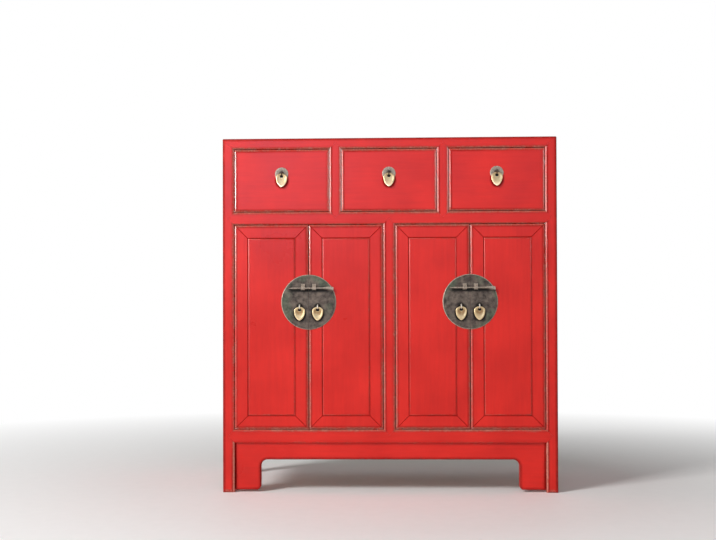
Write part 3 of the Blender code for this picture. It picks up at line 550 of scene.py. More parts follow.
def planed_edge(share=1.0, crease=1.0):
    """Rows of (inset, depth, worn, line) from a face over its planed edge to the side."""
    width = EDGE_WIDTH * share
    wear = EDGE_WEAR * share
    return [
        (width + 2 * wear, 0.0, 0.0, 0.0),
        (width + wear, EDGE_FALL, 0.3, 0.45 * crease),
        (width + wear * 0.4, 2 * EDGE_FALL, 0.5, crease),
        (width, 3 * EDGE_FALL, 0.7, 0.8 * crease),
        (width * 0.92, EDGE_DEPTH * 0.09, 0.9, 0.0),
        (width * 0.10, EDGE_DEPTH * 0.91, 1.0, 0.0),
        # The side rows are darkened a little: painted shade in the gap
        (0.0, EDGE_DEPTH * 1.15, 1.0, 0.25),
        (0.0, EDGE_DEPTH * 2.2, 0.9, 0.3),
    ]


def outer_edge():
    """Rows like those of a planed edge, for the rounder edges of the outline, rubbed and darkened with
    painted shade.
    """
    insets = [OUTER_WIDTH + OUTER_WEAR_AND_SHADE * share for share in (1.0, 0.6, 0.3, 0.0)]
    insets += [OUTER_WIDTH * 0.8, OUTER_WIDTH * 0.12, 0.0, 0.0]
    wears = (0.0, 0.15, 0.3, 0.45, 0.55, 0.75, 0.75, 0.5)
    lines = (0.0, 0.25, 0.5, 0.75, 0.85, 0.95, 0.95, 0.5)
    depths = [row[1] for row in planed_edge()]
    return list(zip(insets, depths, wears, lines))


def shaded_edge(falls):
    """Rows like those of a planed edge, for an edge darkened with painted shade and browned a little by
    dirt, square or round.
    """
    insets = [SHADE_REACH * share for share in (1.0, 0.65, 0.4, 0.22, 0.04, 0.0, 0.0, 0.0)]
    lines = (0.0, 0.06, 0.12, 0.16, 0.2, 0.2, 0.2, 0.2)
    return [(inset, EDGE_DEPTH * fall, 2 * line, line) for inset, fall, line in zip(insets, falls, lines)]


def tongue_edge(reach):
    """Rows like those of a planed edge, for an end whose back half reaches farther out as a tongue, darkened
    towards the gap with painted shade.
    """
    insets = [reach + APRON_END_INSET * share for share in (6.0, 4.0, 2.5, 1.6, 1.2, 1.0, 1.0)] + [0.0]
    lines = (0.0, 0.05, 0.1, 0.15, 0.2, 0.25, 0.3, 0.3)
    return [(inset, row[1], 0.0, line) for inset, row, line in zip(insets, planed_edge(), lines)]


def is_upright(start, end):
    return abs(start[0] - end[0]) < WELD


def is_level(start, end):
    return abs(start[1] - end[1]) < WELD


def planed_side(start, end):
    """Rows for a side of an outline that runs counter-clockwise: crisp on the left, narrower underneath."""
    if is_upright(start, end):
        return planed_edge(crease=1.0 if start[1] > end[1] else SOFT_CREASE)
    return planed_edge(UNDER_EDGE if start[0] < end[0] else 1.0, SOFT_CREASE)


def plain_edge():
    """Rows like those of a planed edge, for an edge that is left square."""
    return [(0.0, depth, 0.0, 0.0) for _, depth, _, _ in planed_edge()]


def sides_of(outline):
    return list(zip(outline, outline[1:] + outline[:1]))


def counter_clockwise(outline):
    area = sum(start[0] * end[1] - end[0] * start[1] for start, end in sides_of(outline))
    return outline if area > 0 else outline[::-1]


def drawn_in(outline, insets):
    """An outline whose sides move inwards, each by its own inset."""
    lines = []
    for (start, end), inset in zip(sides_of(outline), insets):
        way = (Vector(end) - Vector(start)).normalized()
        lines.append((Vector(start) + Vector((-way.y, way.x)) * inset, way))
    spots = []
    for index, (there, way_there) in enumerate(lines):
        here, way = lines[index - 1]
        turn = way.cross(way_there)
        run = (there - here).cross(way_there) / turn
        spots.append(here + way * run)
    return spots


def planed_solid(outline, rule, face, back):
    """An outline in XZ pushed back; the rule gives the rows of each side's front edge."""
    outline = counter_clockwise(outline)
    edges = [rule(start, end) + [(0.0, back - face, 0.2, 0.0)] for start, end in sides_of(outline)]
    loops = []
    for rows in zip(*edges):
        loop = []
        for index, spot in enumerate(drawn_in(outline, [row[0] for row in rows])):
            _, depth, worn, line = rows[index]
            _, _, worn_before, line_before = rows[index - 1]
            place = (spot.x, face + depth, spot.y)
            loop.append((place, max(worn, worn_before), max(line, line_before)))
        loops.append(loop)
    return skinned(loops)


def corner_spots(half_x, half_z, line):
    """Outline of a rectangle; a line above 0 gives each corner a spot on either side of its mitre."""
    corners = [(-half_x, -half_z), (half_x, -half_z), (half_x, half_z), (-half_x, half_z)]
    spots = []
    for index, corner in enumerate(corners):
        spot = Vector(corner)
        before = (Vector(corners[index - 1]) - spot).normalized() * line
        after = (Vector(corners[(index + 1) % 4]) - spot).normalized() * line
        if line:
            spots += [(spot + before, 0.0), (spot, 1.0), (spot + after, 0.0)]
        else:
            spots.append((spot, 0.0))
    return spots


def swept(centre, width, height, profile, ring=False, line=0.0):
    """Sweep (inset, depth, worn, line) rows round an upright rectangle; a line grooves each mitre."""
    loops = []
    for inset, depth, worn, dark in profile:
        loop = []
        for spot, on_mitre in corner_spots(width / 2 - inset, height / 2 - inset, line):
            sunk = on_mitre if depth < line else 0.0
            place = (centre[0] + spot.x, centre[1] + depth + line * sunk, centre[2] + spot.y)
            loop.append((place, worn, max(dark, sunk)))
        loops.append(loop)
    return skinned(loops, ring)


def build_drawer_front(body, eye, finish):
    node = body + "_front"
    low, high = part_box(node)
    outline = [(low.x, low.z), (high.x, low.z), (high.x, high.z), (low.x, high.z)]
    shape = planed_solid(outline, planed_side, low.y, high.y)
    reach = EDGE_WIDTH + 2 * EDGE_WEAR
    for axis in (0, 2):
        cut_lines(shape, axis, (low[axis] + reach, high[axis] - reach))
    paint_drop_shade(shape, low.y, eye)
    add_lacquered(node, shape, finish, body)


def build_door_leaf(body, way, finish):
    """A door's mitred frame, with its pivot pins, and the flush panel in its rebate."""
    node = body + "_frame"
    low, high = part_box(node)
    low.z += PIVOT_LENGTH
    high.z -= PIVOT_LENGTH
    centre = ((low.x + high.x) / 2, low.y, (low.z + high.z) / 2)
    member = DOOR_MEMBER_WIDTH
    rebate = member - DOOR_REBATE_WIDTH
    back = DOOR_THICKNESS
    profile = planed_edge(crease=DOOR_CREASE) + [
        (0, back - BOARD_EASE, 0.2, 0.0), (BOARD_EASE, back, 0.2, 0.0), (rebate, back, 0.0, 0.0),
        (rebate, DOOR_REBATE_DEPTH, 0.0, 0.0), (member, DOOR_REBATE_DEPTH, 0.0, 1.0),
        (member, PANEL_LINE, 0.0, 0.8), (member - PANEL_LINE, 0, 0.0, 0.5),
        (member - 2 * PANEL_LINE, 0, 0.0, 0.0),
    ]
    shape = swept(centre, high.x - low.x, high.z - low.z, profile, ring=True, line=MITRE_LINE)
    pivot_x = (low.x if way < 0 else high.x) - way * PIVOT_FROM_EDGE
    for level, end in ((low.z, low.z - PIVOT_LENGTH), (high.z, high.z + PIVOT_LENGTH)):
        spots = circle((pivot_x, low.y + PIVOT_FROM_FACE), PIVOT_RADIUS, ROD_SIDES)
        inside = level + (level - end) / 2
        skin(shape, [[new_vert(shape, (x, y, z)) for x, y in spots] for z in (inside, end)])
    add_lacquered(node, shape, finish, body)

    node = body + "_panel"
    inner = member + JOINT_GAP
    width = high.x - low.x - 2 * inner
    height = high.z - low.z - 2 * inner
    shoulder = DOOR_REBATE_DEPTH + JOINT_GAP
    lip = DOOR_REBATE_WIDTH
    profile = [
        (2.6 * PANEL_LINE, 0, 0.0, 0.0), (1.8 * PANEL_LINE, 0, 0.5, 0.4),
        (1.5 * PANEL_LINE, 0.1 * PANEL_LINE, 0.6, 0.1), (0.2 * PANEL_LINE, 0.8 * PANEL_LINE, 0.6, 0.3),
        (0, PANEL_LINE, 0.0, 1.0), (0, shoulder, 0.0, 1.0),
        (-lip, shoulder, 0.0, 0.0), (-lip, back - DOOR_PANEL_SETBACK, 0.0, 0.0),
    ]
    add_lacquered(node, swept(centre, width, height, profile), finish, body)


def is_square(normal):
    return max(abs(part) for part in normal) > SQUARE


def ease_square_edges(shape):
    """Soften the outer edges between faces that stand square to the axes; mitres stay crisp."""
    edges = []
    for edge in shape.edges:
        if len(edge.link_faces) != 2 or not edge.is_convex:
            continue
        if all(is_square(face.normal) for face in edge.link_faces) and edge.calc_face_angle() > SMOOTH_ANGLE:
            edges.append(edge)
    bmesh.ops.bevel(
        shape, geom=edges, offset=BOARD_EASE, offset_type="OFFSET", segments=2, profile=0.5,
        affect="EDGES", clamp_overlap=True,
    )
    bmesh.ops.remove_doubles(shape, verts=shape.verts, dist=WELD)


def eased_solid(node):
    """A CAD node's shape with its triangles joined into flat faces, and its square edges eased."""
    shape = new_shape()
    shape.from_mesh(frame["nodes"][node].data)
    bmesh.ops.remove_doubles(shape, verts=shape.verts, dist=WELD)
    bmesh.ops.dissolve_limit(shape, angle_limit=FLAT_ANGLE, verts=shape.verts, edges=shape.edges)
    ease_square_edges(shape)
    return shape


def cut_lines(shape, axis, levels, front=math.inf):
    """Score the faces in front of a depth along planes across an axis, so that wear can end there."""
    normal = [0, 0, 0]
    normal[axis] = 1
    for level in levels:
        spot = [0, 0, 0]
        spot[axis] = level
        parts = [vert for vert in shape.verts if vert.co.y < front]
        for part in (*shape.edges, *shape.faces):
            if all(vert.co.y < front for vert in part.verts):
                parts.append(part)
        bmesh.ops.bisect_plane(shape, geom=parts, dist=WELD, plane_co=spot, plane_no=normal)


def paint_drop_shade(shape, face, eye):
    """Paint shade on a drawer's lacquer round its drop, standing in for the drop's shadow."""
    steps = [DROP_SHADE_STEP * step for step in range(-DROP_SHADE_CUTS, DROP_SHADE_CUTS + 1)]
    for axis, middle in ((0, eye.x), (2, eye.z - DROP_LENGTH / 2)):
        cut_lines(shape, axis, [middle + step for step in steps], face + WELD)
    layer = shape.verts.layers.float["line"]
    for vert in shape.verts:
        if vert.co.y < face + WELD:
            vert[layer] = max(vert[layer], DROP_SHADE_ON_FRONT * painted_shade_round_drop(vert.co, eye))


def mark_member(shape, low, high, run):
    """Mark the wear along a member's long edges; run is the axis it lies along."""
    reach = CAD_ROUND + EDGE_WEAR
    across = [axis for axis in range(3) if axis != run]
    for axis in across:
        cut_lines(shape, axis, (low[axis] + reach, high[axis] - reach))
    layer = shape.verts.layers.float["worn"]
    for vert in shape.verts:
        near = []
        for axis in across:
            gap = min(vert.co[axis] - low[axis], high[axis] - vert.co[axis])
            near.append(max(0.0, min(1.0, (reach - gap) / EDGE_WEAR)))
        vert[layer] = min(near)


def mark_foot(shape, floor):
    cut_lines(shape, 2, (floor + FOOT_WEAR / 2, floor + FOOT_WEAR))
    layer = shape.verts.layers.float["worn"]
    for vert in shape.verts:
        share = 1 - (vert.co.z - floor) / FOOT_WEAR
        vert[layer] = max(vert[layer], min(1.0, share * FOOT_SLOPE))


def build_member(node, run, finish):
    """A lacquered post or rail of the sides or back, with rubbed edges."""
    low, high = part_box(node)
    shape = eased_solid(node)
    mark_member(shape, low, high, "XYZ".index(run))
    if node.startswith("post"):
        mark_foot(shape, low.z)
    add_lacquered(node, shape, finish)


def trim(shape, point, normal):
    """Cut away what lies on the normal's side of a plane, and close the cut."""
    everything = shape.verts[:] + shape.edges[:] + shape.faces[:]
    bmesh.ops.bisect_plane(
        shape, geom=everything, dist=CUT_PRECISION, plane_co=point, plane_no=normal, clear_outer=True,
    )
    bmesh.ops.holes_fill(shape, edges=[edge for edge in shape.edges if edge.is_boundary])
    bmesh.ops.remove_doubles(shape, verts=shape.verts, dist=WELD)


def mitre_corner(shape, hand, member):
    """Trim a post (member 2) or the front top rail (member 0) to its share of the three-way mitre."""
    post_low, post_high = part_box("post_front_left")
    rail_low, rail_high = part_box("top_rail_front")
    size = (post_high.x - post_low.x, post_high.y - post_low.y, rail_high.z - rail_low.z)
    inward = (-hand, 1, -1)
    tip = Vector((hand * CAD_BOX[1].x, post_low.y, CAD_BOX[1].z))
    tip[member] += inward[member] * JOINT_GAP / math.sqrt(2)
    for other in {0, 1, 2} - {member}:
        normal = Vector((0, 0, 0))
        normal[member] = -inward[member] / size[member]
        normal[other] = inward[other] / size[other]
        trim(shape, tip, normal)


def build_front_post(name, hand, finish):
    """A post whose inner edge is notched for the pointed rails and mitred at the top."""
    node = "post_front_" + name
    low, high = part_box(node)
    outer, inner = (low.x, high.x) if hand < 0 else (high.x, low.x)
    top = CAD_BOX[1].z
    outline = [(outer, low.z), (inner, low.z)]
    for rail in ("bottom_rail_front", "drawer_rail"):
        under, over = (corner.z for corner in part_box(rail))
        outline += [(inner, under), (inner + hand * (over - under) / 2, (under + over) / 2), (inner, over)]
    outline += [(inner, top), (outer, top)]

    def rule(start, end):
        if is_upright(start, end):
            if abs(start[0] - outer) < WELD:
                return outer_edge()
            rows = planed_side(start, end)
            on_leg = min(start[1], end[1]) < low.z + WELD
            return [(*row[:2], row[2] * LEG_WEAR, row[3]) for row in rows] if on_leg else rows
        return planed_edge(FOOT_EDGE) if max(start[1], end[1]) < low.z + WELD else plain_edge()

    shape = planed_solid(outline, rule, low.y, high.y)
    mark_foot(shape, low.z)
    mitre_corner(shape, hand, 2)
    add_lacquered(node, shape, finish)


def notched(level, uprights, depth_sign):
    """Corners of the notches that an edge of a rail has for the points of uprights, left to right."""
    spots = []
    for upright in uprights:
        low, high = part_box(upright)
        half = (high.x - low.x) / 2
        middle = (low.x + high.x) / 2
        spots += [(middle - half, level), (middle, level + depth_sign * half), (middle + half, level)]
    return spots


def build_front_rail(node, above, below, finish):
    """A rail between the front posts, pointed at both ends and notched for the uprights on it."""
    low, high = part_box(node)
    point = (high.z - low.z) / 2
    end = high.x - point
    middle = (low.z + high.z) / 2
    outline = [(-end, low.z)] + notched(low.z, below, 1) + [(end, low.z), (high.x, middle), (end, high.z)]
    outline += notched(high.z, above, -1)[::-1] + [(-end, high.z), (low.x, middle)]

    def rule(start, end):
        if not is_level(start, end):
            return plain_edge()
        if start[0] > end[0]:
            return planed_side(start, end)
        return planed_edge(DOOR_TOP_EDGE, SOFT_CREASE) if below else shaded_edge(ROUND_FALL)

    add_lacquered(node, planed_solid(outline, rule, low.y, high.y), finish)


def build_front_top_rail(uprights, finish):
    node = "top_rail_front"
    low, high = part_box(node)
    side, top = CAD_BOX[1].x, CAD_BOX[1].z
    outline = [(-side, low.z)] + notched(low.z, uprights, 1) + [(side, low.z), (side, top), (-side, top)]

    def rule(start, end):
        if not is_level(start, end):
            return plain_edge()
        return outer_edge() if abs(start[1] - top) < WELD else planed_side(start, end)

    shape = planed_solid(outline, rule, low.y, high.y)
    for _, hand in HANDS:
        mitre_corner(shape, hand, 0)
    add_lacquered(node, shape, finish)


def build_upright(node, finish):
    """A divider or stile between two rails, with a point at each end."""
    low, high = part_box(node)
    half = (high.x - low.x) / 2
    middle = (low.x + high.x) / 2
    outline = [(middle, low.z), (high.x, low.z + half), (high.x, high.z - half)]
    outline += [(middle, high.z), (low.x, high.z - half), (low.x, low.z + half)]

    def rule(start, end):
        return planed_side(start, end) if is_upright(start, end) else plain_edge()

    add_lacquered(node, planed_solid(outline, rule, low.y, high.y), finish)


def build_apron(finish):
    """The apron runs down into a bracket foot beside each post, with rounded inner corners."""
    node = "front_apron"
    low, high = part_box(node)
    inner = high.x + APRON_END_GAP - BRACKET_WIDTH
    under = high.z + JOINT_GAP - APRON_HEIGHT
    half = arc((inner - APRON_CORNER, under - APRON_CORNER), APRON_CORNER, 90, 0, LEAF_STEPS)
    half += arc((inner + BRACKET_TOE, low.z + BRACKET_TOE), BRACKET_TOE, 180, 270, LEAF_STEPS)
    end_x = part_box("post_front_right")[0].x - JOINT_GAP
    half += [(end_x, low.z), (end_x, high.z)]
    outline = half + [(-x, z) for x, z in reversed(half)]

    def rule(start, end):
        if min(start[1], end[1]) > high.z - WELD:
            return shaded_edge(SQUARE_FALL)
        return tongue_edge(end_x - high.x) if abs(start[0]) == abs(end[0]) == end_x else outer_edge()

    add_lacquered(node, planed_solid(outline, rule, low.y, high.y), finish)


def build_board(node, body, finish):
    """A flat board or panel with eased edges."""
    add_piece(node + "_board", eased_solid(node), finish, body, [node])


def build_case(lacquers, woods):
    dividers = ["drawer_divider_" + name for name, _ in HANDS]
    stile = ["centre_stile"]
    for name, hand in HANDS:
        build_front_post(name, hand, lacquers["Z"])
        build_member("post_rear_" + name, "Z", lacquers["Z"])
        build_member("top_rail_" + name, "Y", lacquers["Y"])
        build_member("bottom_rail_" + name, "Y", lacquers["Y"])
        build_board("side_panel_" + name, "case", lacquers["Z"])
    build_front_top_rail(dividers, lacquers["X"])
    build_front_rail("drawer_rail", dividers, stile, lacquers["X"])
    build_front_rail("bottom_rail_front", stile, [], lacquers["X"])
    for node in dividers + stile:
        build_upright(node, lacquers["Z"])
    build_apron(lacquers["X"])
    for node in ("top_rail_rear", "bottom_rail_rear"):
        build_member(node, "X", lacquers["X"])
    build_board("top_panel", "case", lacquers["X"])
    for node in ("back_panel", "floor_board", "drawer_deck", "shelf"):
        build_board(node, "case", woods["X"])


def half_disc(radius, hand, steps):
    """Outline of the part of a disc that lies on one hand, up to half the gap between the plates."""
    reach = math.degrees(math.acos(PLATE_GAP / 2 / radius))
    return [(hand * x, z) for x, z in arc((0, 0), radius, -reach, reach, steps)]


def dirt_and_shade_near(spot, fitting, reach=DIRT_AND_SHADE_REACH):
    """How black a plate is near an eye, staple or drop hole: dirt, and painted shade for their shadows."""
    return DIRT_AND_SHADE_DEPTH * max(0.0, 1 - math.hypot(spot.x - fitting.x, spot.z - fitting.z) / reach)


def painted_shade_round_drop(spot, eye):
    """How dark the painted shade is on a plate or a front round a drop, standing in for the drop's shadow.
    """
    across = (spot.x - eye.x) / (DROP_WIDTH / 2 + DROP_SHADE_WIDTH)
    down = (spot.z - eye.z + DROP_LENGTH / 2) / (DROP_LENGTH / 2 + DROP_SHADE_WIDTH)
    return DROP_SHADE_DEPTH * max(0.0, min(1.0, DROP_SHADE_SLOPE * (1 - math.hypot(across, down))))


def painted_shadow_under_pin(spot, gap_x, pin_level):
    """How dark the painted shadow is on a plate below its lock pin."""
    near = max(0.0, 1 - abs(spot.z - pin_level + PIN_SHADOW_FALL) / PIN_SHADOW_REACH)
    covered = max(0.0, min(1.0, (PIN_SHADOW_END - abs(spot.x - gap_x)) / PIN_SHADOW_FADE))
    return PIN_SHADOW_DEPTH * near * covered


def build_lock_plate(body, hand, eye, pin_level, finish):
    """Half of a round plate on the door's free edge, hammered and with a rubbed rim."""
    node = body + "_lock_plate"
    low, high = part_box(node)
    gap_x = (high.x if hand < 0 else low.x) - hand * PLATE_GAP / 2
    middle = Vector((gap_x, high.y - PLATE_THICKNESS, (low.z + high.z) / 2))
    radius = (high.z - low.z) / 2
    flat = radius - PLATE_RIM
    rings = [(flat * (step + 0.5) / PLATE_RINGS, 0.0, 0.0) for step in range(PLATE_RINGS)]
    rings += [(flat, 0.0, 0.2), (flat + PLATE_RIM * 0.3, PLATE_RIM_FALL * 0.15, 0.78)]
    rings += [(radius - PLATE_RIM * 0.2, PLATE_RIM_FALL * 0.8, 0.78), (radius, PLATE_RIM_FALL * 1.2, 0.3)]
    staple = Vector((gap_x + hand * STAPLE_FROM_GAP, middle.y, pin_level))
    shape = new_shape()
    loops = []
    for ring_radius, depth, worn in rings:
        loop = []
        for x, z in half_disc(ring_radius, hand, RING_STEPS):
            spot = middle + Vector((x, depth, z))
            spot.y += PLATE_HAMMER * noise.noise(spot * HAMMER_FINENESS)
            # Inside the rim the plate is blackened: dirt and painted shade near the eye and staple, painted
            # shade round the drop and under the pin
            if ring_radius < flat:
                worn = -max(dirt_and_shade_near(spot, eye), dirt_and_shade_near(spot, staple) / 2, painted_shade_round_drop(spot, eye),
                            painted_shadow_under_pin(spot, gap_x, pin_level))
            loop.append(new_vert(shape, spot, worn, ring_radius / radius))
        loops.append(loop)
    loops.append([new_vert(shape, (vert.co.x, high.y, vert.co.z)) for vert in loops[-1]])
    skin_open(shape, loops)
    add_piece(node + "_brass", shape, finish, body, [node])
    return middle


def build_staple(body, hand, plate_middle, pin, finish):
    """A strap bent over the lock pin, with both feet let into the plate."""
    bore = PIN_RADIUS + PIN_CLEARANCE
    outer = bore + STAPLE_WALL
    foot = plate_middle.y + PLATE_THICKNESS / 2
    axis = (pin.y, pin.z)
    outline = [(foot, pin.z + STAPLE_HEAD_RISE)]
    outline += arc(axis, outer, STAPLE_SHOULDER, 270, RING_STEPS // 3)
    outline += [(foot, pin.z - outer), (foot, pin.z - bore)]
    outline += arc(axis, bore, 270, STAPLE_SHOULDER, RING_STEPS // 3)
    outline += [(foot, pin.z + STAPLE_HEAD_RISE - 2 * STAPLE_WALL)]
    middle = plate_middle.x + hand * STAPLE_FROM_GAP
    half = STAPLE_WIDTH / 2
    ease = STAPLE_WALL / 4
    widths = ((-half, 0.86), (ease - half, 0.78), (0.0, 0.73), (half - ease, 0.78), (half, 0.86))
    loops = [[((middle + x, y, z), worn) for y, z in outline] for x, worn in widths]
    add_piece(body + "_staple", skinned(loops), finish, body)


def build_eye(body, eye, face, worn, finish):
    """A wire loop in the YZ plane, with both ends let into the plate behind it."""
    seat = math.degrees(math.acos((face + EYE_FOOT - eye.y) / EYE_RADIUS))
    wire = circle((0, EYE_RADIUS), EYE_WIRE_RADIUS, WIRE_SIDES)
    loops = []
    for out, up in arc((0, 0), 1.0, seat, 360 - seat, RING_STEPS // 2):
        loops.append([(eye + Vector((x, radius * out, radius * up)), worn) for x, radius in wire])
    add_piece(body + "_eye", skinned(loops), finish, body, weighted=False)


def leaf_outline():
    """A leaf hanging from the origin: a round head, then sides that draw in to a blunt point."""
    half = DROP_WIDTH / 2
    right = []
    for step in range(1, LEAF_STEPS + 1):
        angle = math.radians(90 * step / LEAF_STEPS)
        right.append((half * math.sin(angle), -DROP_SHOULDER * (1 - math.cos(angle))))
    for step in range(1, LEAF_STEPS):
        run = math.sin(math.radians(90 * step / LEAF_STEPS))
        fall = DROP_SHOULDER + (DROP_LENGTH - DROP_SHOULDER) * run
        right.append((half * (1 - run ** DROP_TAPER) ** DROP_BLUNTNESS, -fall))
    return [(0, 0)] + right + [(0, -DROP_LENGTH)] + [(-x, z) for x, z in reversed(right)]


def drop_hole(eye):
    """The middle of the hole that a drop hangs by."""
    return Vector((eye.x, eye.y, eye.z - EYE_RADIUS - DROP_HOLE_SAG))


def build_drop(body, eye, look, finish):
    """A dished leaf with a raised rim and a lip that curls forward, bored at its head."""
    node = body + "_drop"
    head_darkening, dish_tarnish, tip_polish_and_highlight = look
    heart = -DROP_LENGTH * DROP_HEART
    loops = []
    for share, depth, worn in DROP_SECTION:
        loop = []
        for x, z in leaf_outline():
            level = heart + (z - heart) * share
            to_tip = max(0.0, (heart - level) / (heart + DROP_LENGTH))
            to_head = max(0.0, 1 - level / heart)
            spot = (eye.x + x * share, eye.y + depth - DROP_CURL * to_tip ** 2, eye.z + level)
            dull = max(dish_tarnish * worn * (1 - to_tip), head_darkening * to_head)
            loop.append((spot, dull, tip_polish_and_highlight * to_tip ** 2))
        loops.append(loop)
    piece = add_piece(node + "_leaf", skinned(loops), finish, node, [node], weighted=False)
    bore(piece, drop_hole(eye))


def bore(piece, spot):
    """Cut the oval hole of a drop through it, front to back."""
    cutter = bmesh.new()
    oval = [(x * DROP_HOLE_WIDTH, z * DROP_HOLE_HEIGHT) for x, z in circle((0, 0), 1.0, ROD_SIDES)]
    loops = []
    for depth in (-BORE_REACH, BORE_REACH):
        loops.append([cutter.verts.new(spot + Vector((x, depth, z))) for x, z in oval])
    skin(cutter, loops)
    bmesh.ops.recalc_face_normals(cutter, faces=cutter.faces)
    tool = link_object("bore", mesh_of("bore", cutter))
    step = piece.modifiers.new("bore", "BOOLEAN")
    step.object = tool
    step.solver = "EXACT"
    bpy.context.view_layer.update()
    cut = bpy.data.meshes.new_from_object(piece.evaluated_get(bpy.context.evaluated_depsgraph_get()))
    piece.modifiers.clear()
    merged = bmesh.new()
    merged.from_mesh(cut)
    bmesh.ops.remove_doubles(merged, verts=merged.verts, dist=WELD)
    merged.to_mesh(cut)
    merged.free()
    piece.data = cut
    shade(cut)
    bpy.data.objects.remove(tool, do_unlink=True)


def build_backplate(body, eye, finish):
    node = body + "_backplate"
    low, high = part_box(node)
    middle = Vector(((low.x + high.x) / 2, high.y - BACKPLATE_THICKNESS, (low.z + high.z) / 2))
    loops = []
    for share, depth, worn in BACKPLATE_RINGS:
        loop = []
        for x, z in circle((middle.x, middle.z), BACKPLATE_RADIUS * share, RING_STEPS):
            spot = Vector((x, middle.y + depth, z))
            # Blackened round the eye and behind the drop's hole: dirt, and painted shade for the shade in
            # the hole
            black = max(dirt_and_shade_near(spot, place, SMALL_DIRT_AND_SHADE_REACH) for place in (eye, drop_hole(eye)))
            loop.append((spot, worn - black, share))
        loops.append(loop)
    add_piece(node + "_brass", skinned(loops), finish, body, [node])
    return middle.y


def lofted(sections, place):
    """Skin oval sections along X, each (x, z, half height, half thickness, worn)."""
    loops = []
    for x, z, half_height, half_thickness, worn in sections:
        loop = []
        for up, out in circle((0, 0), 1.0, ROD_SIDES):
            spot = place + Vector((x, half_thickness * out, z + half_height * up))
            # The underside is darkened with painted shade
            loop.append((spot, worn + PIN_UNDERSIDE_SHADE * min(0.0, up)))
        loops.append(loop)
    return skinned(loops)


def build_pin(name, tip_body, finish):
    """The lock pin: a tapered tip on one door, a rod with a flat drooping head on the other."""
    node = "lock_pin_tip_" + name
    low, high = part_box(node)
    place = Vector((high.x, (low.y + high.y) / 2, (low.z + high.z) / 2))
    reach = low.x - high.x
    thin = PIN_TIP_RADIUS
    full = PIN_RADIUS
    sizes = [(reach, thin * 0.4), (reach + thin, thin)]
    sizes += [(x, full) for x in (reach + PIN_TIP_TAPER, reach / 2, 0)]
    tip = [(x, 0, radius, radius, PIN_WEAR) for x, radius in sizes]
    add_piece(node + "_brass", lofted(tip, place), finish, tip_body, [node])

    node = "lock_pin_" + name
    low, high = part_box(node)
    place.x = low.x
    length = high.x - low.x
    neck = length - PIN_HEAD_LENGTH
    head = [(x, 0, full, full, PIN_WEAR) for x in (0, neck / 2, neck)]
    for step in range(1, PIN_HEAD_STEPS + 1):
        share = step / PIN_HEAD_STEPS
        flare = math.sin(math.radians(90 * share))
        half_height = full + (PIN_HEAD_HEIGHT / 2 - full) * flare
        half_thickness = full + (PIN_HEAD_THICKNESS / 2 - full) * flare
        droop = PIN_HEAD_DROOP * share ** 2
        rubbed = PIN_WEAR + PIN_HEAD_WEAR * share ** 3
        head.append((neck + PIN_HEAD_LENGTH * share, -droop, half_height, half_thickness, rubbed))
    add_piece(node + "_brass", lofted(head, place), finish, node, [node])
    return place


def build_drawers(lacquers, woods, aged, bright):
    for body in DRAWERS:
        eye = joint_spot(body + "_drop_swing")
        build_drawer_front(body, eye, lacquers["X"])
        build_board(body + "_box", body, woods["Y"])
        build_board(body + "_bottom", body, woods["X"])
        face = build_backplate(body, eye, aged)
        build_eye(body, eye, face, SHADED_EYE, aged)
        build_drop(body, eye, DRAWER_DROP, bright)


def build_doors(lacquers, aged, bright):
    pin = build_pin("left", "door_outer_left", aged)
    build_pin("right", "door_inner_right", aged)
    for body, hand in DOORS:
        eye = joint_spot(body + "_drop_swing")
        build_door_leaf(body, hand, lacquers["Z"])
        plate_middle = build_lock_plate(body, hand, eye, pin.z, aged)
        build_staple(body, hand, plate_middle, pin, aged)
        build_eye(body, eye, plate_middle.y, BRIGHT_EYE, aged)
        build_drop(body, eye, DOOR_DROP, bright)


def build_floor():
    """A pale floor that fades to the white background away from the chest."""
    shape = bmesh.new()
    bmesh.ops.create_circle(shape, cap_ends=True, segments=FLOOR_SIDES, radius=FLOOR_RADIUS)
    mesh = mesh_of("floor", shape)
    floor = link_object("floor", mesh)
    finish = Finish("pale_floor")
    speckle = finish.cloud(30.0, 4.0)
    finish.set(Base_Color=finish.mix(speckle, *PALE_FLOOR), Roughness=0.7)
    length = finish.add("VectorMath", {0: finish.place()}, operation="LENGTH").outputs["Value"]
    away = finish.remap(length, *FLOOR_FADE)
    white = finish.add("Emission", {"Color": WHITE, "Strength": 1.0})
    share = finish.combine("MULTIPLY", away, finish.seen())
    finish.blend(share, finish.surface, white, "Material Output")
    mesh.materials.append(finish.material)


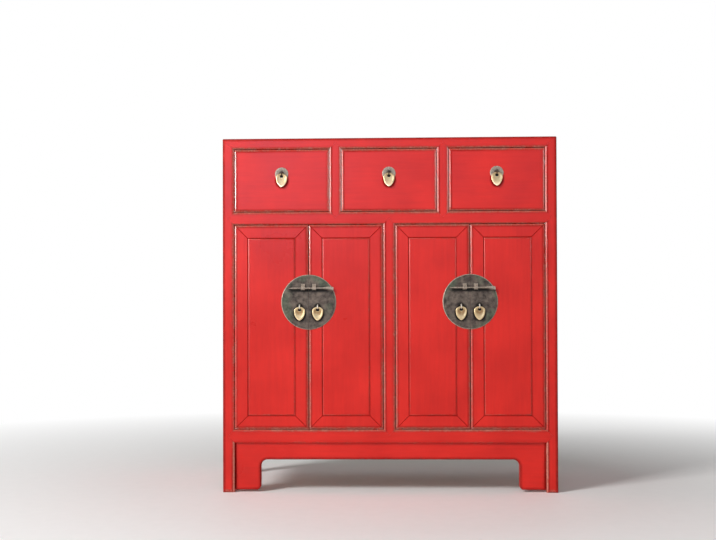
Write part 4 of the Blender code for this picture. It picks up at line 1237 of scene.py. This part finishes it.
def build_world():
    """Even soft light all round; seen directly or mirrored, the surroundings are white."""
    world = bpy.data.worlds.new("studio")
    bpy.context.scene.world = world
    sky = Nodes(world)
    soft = sky.tree.nodes["Background"]
    sky.feed(soft.inputs["Color"], SKY)
    sky.feed(soft.inputs["Strength"], AMBIENT)
    white = sky.add("Background", {"Color": WHITE, "Strength": 1.0})
    sky.blend(sky.seen(), soft, white, "World Output")


def add_lamp(gleam, name, place, aim, size, radiance, tint=(1.0, 1.0, 1.0)):
    """A rectangular lamp of a given radiance; gleams show in gloss only, other lamps everywhere else."""
    lamp = bpy.data.lights.new(name, "AREA")
    lamp.color = tint
    lamp.shape = "RECTANGLE"
    lamp.size, lamp.size_y = size
    lamp.energy = radiance * math.pi * size[0] * size[1]
    thing = link_object(name, lamp)
    thing.location = place
    thing.rotation_euler = (Vector(aim) - Vector(place)).to_track_quat("-Z", "Y").to_euler()
    thing.visible_camera = False
    thing.visible_diffuse = not gleam
    thing.visible_glossy = gleam


def build_light():
    """A key from the left, a fill from the front, and gleams that only polished surfaces show."""
    build_world()
    for lamp in SOFT_LAMPS:
        add_lamp(False, *lamp)
    for lamp in GLEAMS:
        add_lamp(True, *lamp)


def build_camera():
    """A nearly level view from in front, turned a little to the left."""
    lens = bpy.data.cameras.new("camera")
    lens.lens = CAMERA_LENS
    lens.sensor_width = CAMERA_SENSOR
    lens.sensor_fit = "HORIZONTAL"
    lens.shift_y = CAMERA_SHIFT_Y
    camera = link_object("camera", lens)
    turn = Matrix.Rotation(CAMERA_YAW, 4, "Z") @ Matrix.Rotation(math.pi / 2 + CAMERA_PITCH, 4, "X")
    spin = Matrix.Rotation(CAMERA_ROLL, 4, "Z")
    camera.matrix_world = Matrix.Translation(CAMERA_PLACE) @ turn @ spin
    bpy.context.scene.camera = camera


def main():
    lacquers = {axis: make_lacquer(axis) for axis in "XYZ"}
    woods = {axis: make_wood(axis) for axis in "XY"}
    aged = make_aged_brass()
    bright = make_bright_brass()
    build_case(lacquers, woods)
    build_drawers(lacquers, woods, aged, bright)
    build_doors(lacquers, aged, bright)
    build_floor()
    build_light()
    build_camera()
    bpy.context.scene.view_settings.view_transform = "Standard"


main()
